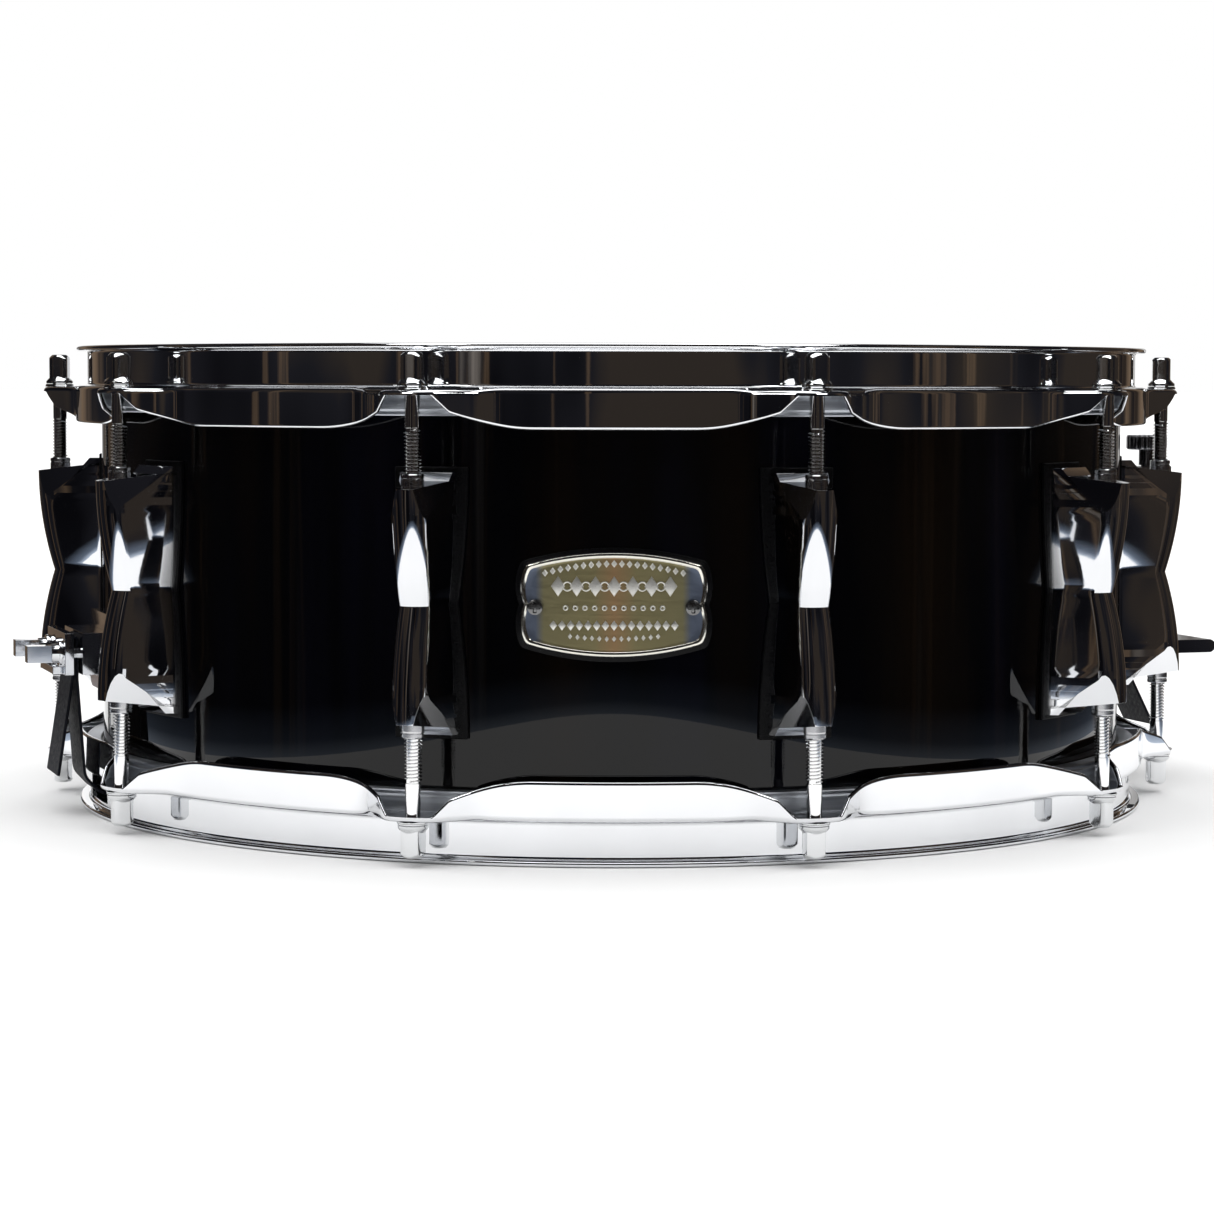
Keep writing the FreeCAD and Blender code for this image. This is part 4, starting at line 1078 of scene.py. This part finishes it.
def cross_screw(radius, dome):
    """A small domed screw head with a cross recess, pointing along X."""
    rows = []
    for i in range(13):
        reach = radius * i / 12
        row = []
        for k in range(48):
            angle = FULL_TURN * k / 48
            y, z = reach * math.cos(angle), reach * math.sin(angle)
            arm = max(abs(y), abs(z)) < radius * 0.68 and min(abs(y), abs(z)) < radius * 0.2
            height = dome * math.sqrt(max(0.0, 1 - 0.75 * (reach / radius) ** 2))
            row.append((height - (dome * 0.75 if arm else 0), y, z))
        rows.append(row)
    rows.append([(-0.3, y, z) for _, y, z in rows[-1]])
    return grid(rows, False, True)


def make_badge_screws():
    """The badge's two cross-head screws."""
    along, proud, drop = 23.7, 0.95, 0.8
    head = moved(cross_screw(2.3, 0.85), lambda x, y, z: (SHELL_RADIUS + proud + x, y, z - drop))
    shapes = [turned(head, 90 + math.degrees(side * along / SHELL_RADIUS)) for side in (-1, 1)]
    look("badge_screws", joined(shapes), BADGE_SCREW_METAL, "screw_steel", 0, sharp=30)


def make_vent():
    """Flanged eyelet for the vent, at the back of the shell."""
    outline = [
        (3.8, -6.8), (4.95, -6.8), (4.95, -0.1), (7.2, 0.0), (7.5, 0.25), (7.2, 0.6), (6.0, 0.8),
        (4.6, 0.75), (4.0, 0.45), (3.8, 0.0),
    ]
    shape = moved(lathe(outline, 48), lambda x, y, z: (z + SHELL_RADIUS - 0.05 * y * y / 7, x, y))
    look("vent_grommet", shape, FITTING_CHROME, "fitting_chrome", 180)


# Snares and straps

def coil(across):
    """One snare wire: a fine coil along X."""
    radius, wire, pitch, around, half_length = 0.6, 0.2, 2.4, 9, 149.5
    rows = []
    steps = int(2 * half_length / pitch * around)
    for i in range(steps + 1):
        angle = FULL_TURN * i / around
        x = -half_length + pitch * i / around
        row = []
        for k in range(3):
            turn = FULL_TURN * k / 3
            reach = radius + wire * math.cos(turn)
            y, z = across + reach * math.cos(angle), -WIRE_LEVEL + reach * math.sin(angle)
            row.append((x + wire * math.sin(turn), y, z))
        rows.append(row)
    return grid(rows, False, True)


def make_snares():
    """Twenty coils and the two plates that they are soldered to."""
    count, pitch = 20, 2.1
    wires = joined([coil((i - (count - 1) / 2) * pitch) for i in range(count)])
    look("snare_wires", wires, WIRE_METAL, "wire_steel", STRAINER_BEARING, "snares", weld=False, sharp=180)
    finish_node("snare_end_plates", WIRE_METAL, 0.2)


def strap_path(clamp_top, clamp_foot, tail):
    """From the end plate out through the gate, up into the clamp, and back down as a loose tail."""
    line, fold = 191.0, 1.4
    return [
        (142.0, -STRAP_LEVEL), (176.0, -STRAP_LEVEL), (184.0, -70.5), (188.6, -65.5), (189.0, -61.0),
        (line, clamp_foot - 2), (line, clamp_top - 2), (line + fold, clamp_top - 2),
        (line + fold, clamp_foot - 1), tail,
    ]


def strap_piece(name, path, bearing, **riding):
    """A nylon ribbon along a path in x and z, with rounded bends and edges."""
    rows = []
    for x, z in rounded(path, 5.0, 6):
        rows.append([(x, STRAP_HALF_WIDTH * k / 4, z) for k in range(-4, 5)])
    piece = look(name, grid(rows), NYLON, "strap_nylon", bearing, **riding)
    thicken(piece, STRAP, offset=0.0)
    soften(piece, 0.3)
    settle(piece)
    return piece


def make_straps():
    """Both straps. Their height changes a little as the throw-off drops the snares."""
    butt = strap_piece("butt_strap", strap_path(-16.8, -30.7, (197.5, -65.0)), BUTT_BEARING, rides=False)
    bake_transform(butt)
    strainer = strap_piece(
        "strainer_strap", strap_path(-14.5, -27.0, (209.0, -60.0)), STRAINER_BEARING, body="snares"
    )
    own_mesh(strainer)


# Butt end and strainer

def knob_shape():
    """Fluted knob, stem and tension screw about their own axis."""
    radius, top, foot, flutes, around = 7.5, 47.2, 41.7, 20, 160

    def fluted(depth):
        return lambda angle: radius - depth - 0.45 * (0.5 + 0.5 * math.cos(flutes * angle)) ** 2

    outline = [
        (0.2, top - 0.5), (2.2, top - 0.5), (2.6, top), (6.2, top), (fluted(0.4), top - 0.1),
        (fluted(0.1), top - 0.45), (fluted(0.0), top - 0.9), (fluted(0.0), foot + 0.9),
        (fluted(0.1), foot + 0.45), (fluted(0.4), foot + 0.1), (6.0, foot), (2.9, foot), (2.9, 36.0),
        (2.0, 35.9), (2.0, 24.4), (1.6, 24.0), (0.1, 24.0),
    ]
    return grid([ring(reach, z, around) for reach, z in outline], False, True)


def make_strainer_and_butt():
    """The CAD's own plates, blocks and lever with rounded edges, and a fluted knob."""
    for name in (
        "butt_base", "butt_clamp_plate", "butt_clamp_screws", "strainer_base", "strainer_carriage",
        "strainer_clamp_plate",
    ):
        finish_node(name, FITTING_CHROME, 0.5, 3)
    finish_node("strainer_lever", LUG_CHROME, 0.8, 3)
    for name in ("strainer_pivot_pin", "strainer_clamp_screws", "mounting_screws", "lug_screws"):
        finish_node(name, SCREW_METAL, 0.3)
    finish_node("lug_screw_washers", SCREW_METAL, 0.2)
    knob = look(
        "strainer_knob", knob_shape(), KNOB_METAL, "fitting_chrome", STRAINER_BEARING,
        rides=False, sharp=50,
    )
    stand_off(knob, KNOB_OUT, STRAINER_BEARING)
    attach(knob, "knob")


# Stage

def make_floor():
    """Large pale floor."""
    material = new_material("floor", {"Roughness": 0.9, "Specular IOR Level": 0.0})
    tint_by(material, noise(material, 3), [(0.3, (0.88, 0.88, 0.88)), (0.7, (0.9, 0.9, 0.9))])
    mesh = bpy.data.meshes.new("floor")
    reach = 30.0
    corners = [(-reach, -reach, 0), (reach, -reach, 0), (reach, reach, 0), (-reach, reach, 0)]
    mesh.from_pydata(corners, [], [(0, 1, 2, 3)])
    mesh.materials.append(material)
    floor = linked("floor", mesh)
    floor.location.z = -0.0002


def room_glow():
    """The screen's light: dark with brown streaks in front, white at the back, blue-grey at the foot."""
    material = bpy.data.materials.new("room")
    material.use_nodes = True
    material.node_tree.nodes.clear()
    streaks = noise(material, 16, stretch=(1, 1, 0.05), detail=5.0)
    patches = noise(material, 5, stretch=(1, 1, 0.8), detail=2.0)
    axes = own_axes(material)
    uneven = computed(material, "MULTIPLY_ADD", streaks, 0.3, -0.15)
    back = spread_of(material, computed(material, "ADD", axes["Y"], uneven), -0.66, 0.66)
    behind = colours_of(material, back, [
        (0.6, (0, 0, 0)), (0.68, (0.16, 0.11, 0.07)), (0.76, (0.12, 0.11, 0.1)), (0.82, (1, 1, 1)),
    ])
    dark = colours_of(material, patches, [
        (0.42, (0.003, 0.003, 0.004)), (0.55, (0.012, 0.012, 0.015)), (0.62, (0.03, 0.024, 0.02)),
    ])
    warm = colours_of(material, streaks, [
        (0.58, (0, 0, 0)), (0.61, (0.07, 0.045, 0.025)), (0.64, (0.01, 0.008, 0.006)),
        (0.7, (0.16, 0.14, 0.12)),
    ])
    foot = colours_of(material, spread_of(material, axes["Z"], 0.0, 0.02), [
        (0.0, (0.5, 0.58, 0.7)), (0.3, (0.12, 0.15, 0.2)), (1.0, (0, 0, 0)),
    ])
    total = dark
    for more in (warm, behind, foot):
        both = node_of(material, "ShaderNodeMix", {"data_type": "RGBA", "blend_type": "ADD"})
        both.inputs["Factor"].default_value = 1.0
        material.node_tree.links.new(total, both.inputs[6])
        material.node_tree.links.new(more, both.inputs[7])
        total = both.outputs[2]
    glow = node_of(material, "ShaderNodeEmission", {"Strength": 1.0}, {"Color": total})
    output = node_of(material, "ShaderNodeOutputMaterial")
    material.node_tree.links.new(glow.outputs["Emission"], output.inputs["Surface"])
    return material


def make_room():
    """A dark oval screen round the drum, seen only in reflections."""
    steps, half_wide, half_deep, high = 96, 0.36, 0.62, 0.38
    rows = []
    for z in (0.0, high):
        rows.append([
            (half_wide * math.cos(FULL_TURN * i / steps), half_deep * math.sin(FULL_TURN * i / steps), z)
            for i in range(steps)
        ])
    points, faces = grid(rows, False, True)
    mesh = bpy.data.meshes.new("room")
    mesh.from_pydata(points, [], faces)
    mesh.polygons.foreach_set("use_smooth", [True] * len(mesh.polygons))
    mesh.materials.append(room_glow())
    room = linked("room", mesh)
    room.visible_camera = False
    room.visible_diffuse = False
    room.visible_shadow = False
    room.visible_transmission = False


def add_light(name, place_at, size, power):
    """A softbox that is seen only in reflections, aimed at the drum."""
    data = bpy.data.lights.new(name, "AREA")
    data.shape = "RECTANGLE"
    data.size, data.size_y = size
    data.energy = power
    light = linked(name, data)
    light.location = place_at
    aim = Vector((0, 0, RIM * MM)) - Vector(place_at)
    light.rotation_euler = aim.to_track_quat("-Z", "Y").to_euler()
    light.visible_diffuse = False
    light.visible_camera = False


def make_world():
    """White behind the drum, soft light on matt surfaces, dark in reflections."""
    world = bpy.data.worlds.new("studio")
    world.use_nodes = True
    nodes, links = world.node_tree.nodes, world.node_tree.links
    nodes.clear()
    glows = []
    for colour in ((0.015, 0.015, 0.017), (0.4, 0.4, 0.4), (1, 1, 1)):
        glow = nodes.new("ShaderNodeBackground")
        glow.inputs["Color"].default_value = (*colour, 1)
        glows.append(glow)
    path = nodes.new("ShaderNodeLightPath")
    total = glows[0].outputs[0]
    for glow, ray in zip(glows[1:], ("Is Diffuse Ray", "Is Camera Ray")):
        mix = nodes.new("ShaderNodeMixShader")
        links.new(path.outputs[ray], mix.inputs[0])
        links.new(total, mix.inputs[1])
        links.new(glow.outputs[0], mix.inputs[2])
        total = mix.outputs[0]
    output = nodes.new("ShaderNodeOutputWorld")
    links.new(total, output.inputs[0])
    bpy.context.scene.world = world
    bpy.context.scene.view_settings.view_transform = "Standard"


def make_lights():
    """Even soft light from above, and softboxes for the highlights on the chrome."""
    data = bpy.data.lights.new("sky", "SUN")
    data.energy = 3.3
    data.angle = math.radians(100)
    linked("sky", data).visible_glossy = False
    add_light("overhead", (0.0, 0.0, 1.9), (1.5, 1.5), 22.0)
    add_light("front_left", (-1.0, -1.1, 1.25), (0.45, 0.45), 6.0)
    add_light("front_right", (1.0, -1.1, 1.25), (0.45, 0.45), 6.0)


def make_camera():
    """Camera in front of the badge, a little below the upper rim and looking slightly down."""
    data = bpy.data.cameras.new("camera")
    data.sensor_width = 36.0
    data.lens = 97.44
    camera = linked("camera", data)
    distance, height, aside = 1.162, 0.14675, -0.0012
    pitch, roll, turn = 0.070, 0.0025, math.radians(-0.3)
    camera.location = (distance * math.sin(turn) + aside, -distance * math.cos(turn), height)
    facing = Matrix.Rotation(turn, 3, "Z") @ Matrix.Rotation(math.pi / 2 - pitch, 3, "X")
    camera.rotation_euler = (facing @ Matrix.Rotation(roll, 3, "Z")).to_euler()
    bpy.context.scene.camera = camera


make_shell()
make_heads()
make_flesh_hoops()
make_hoops()
make_rods()
make_washers()
make_lugs()
make_gaskets()
make_nuts()
make_badge()
make_badge_screws()
make_vent()
make_snares()
make_straps()
make_strainer_and_butt()
make_floor()
make_room()
make_world()
make_lights()
make_camera()
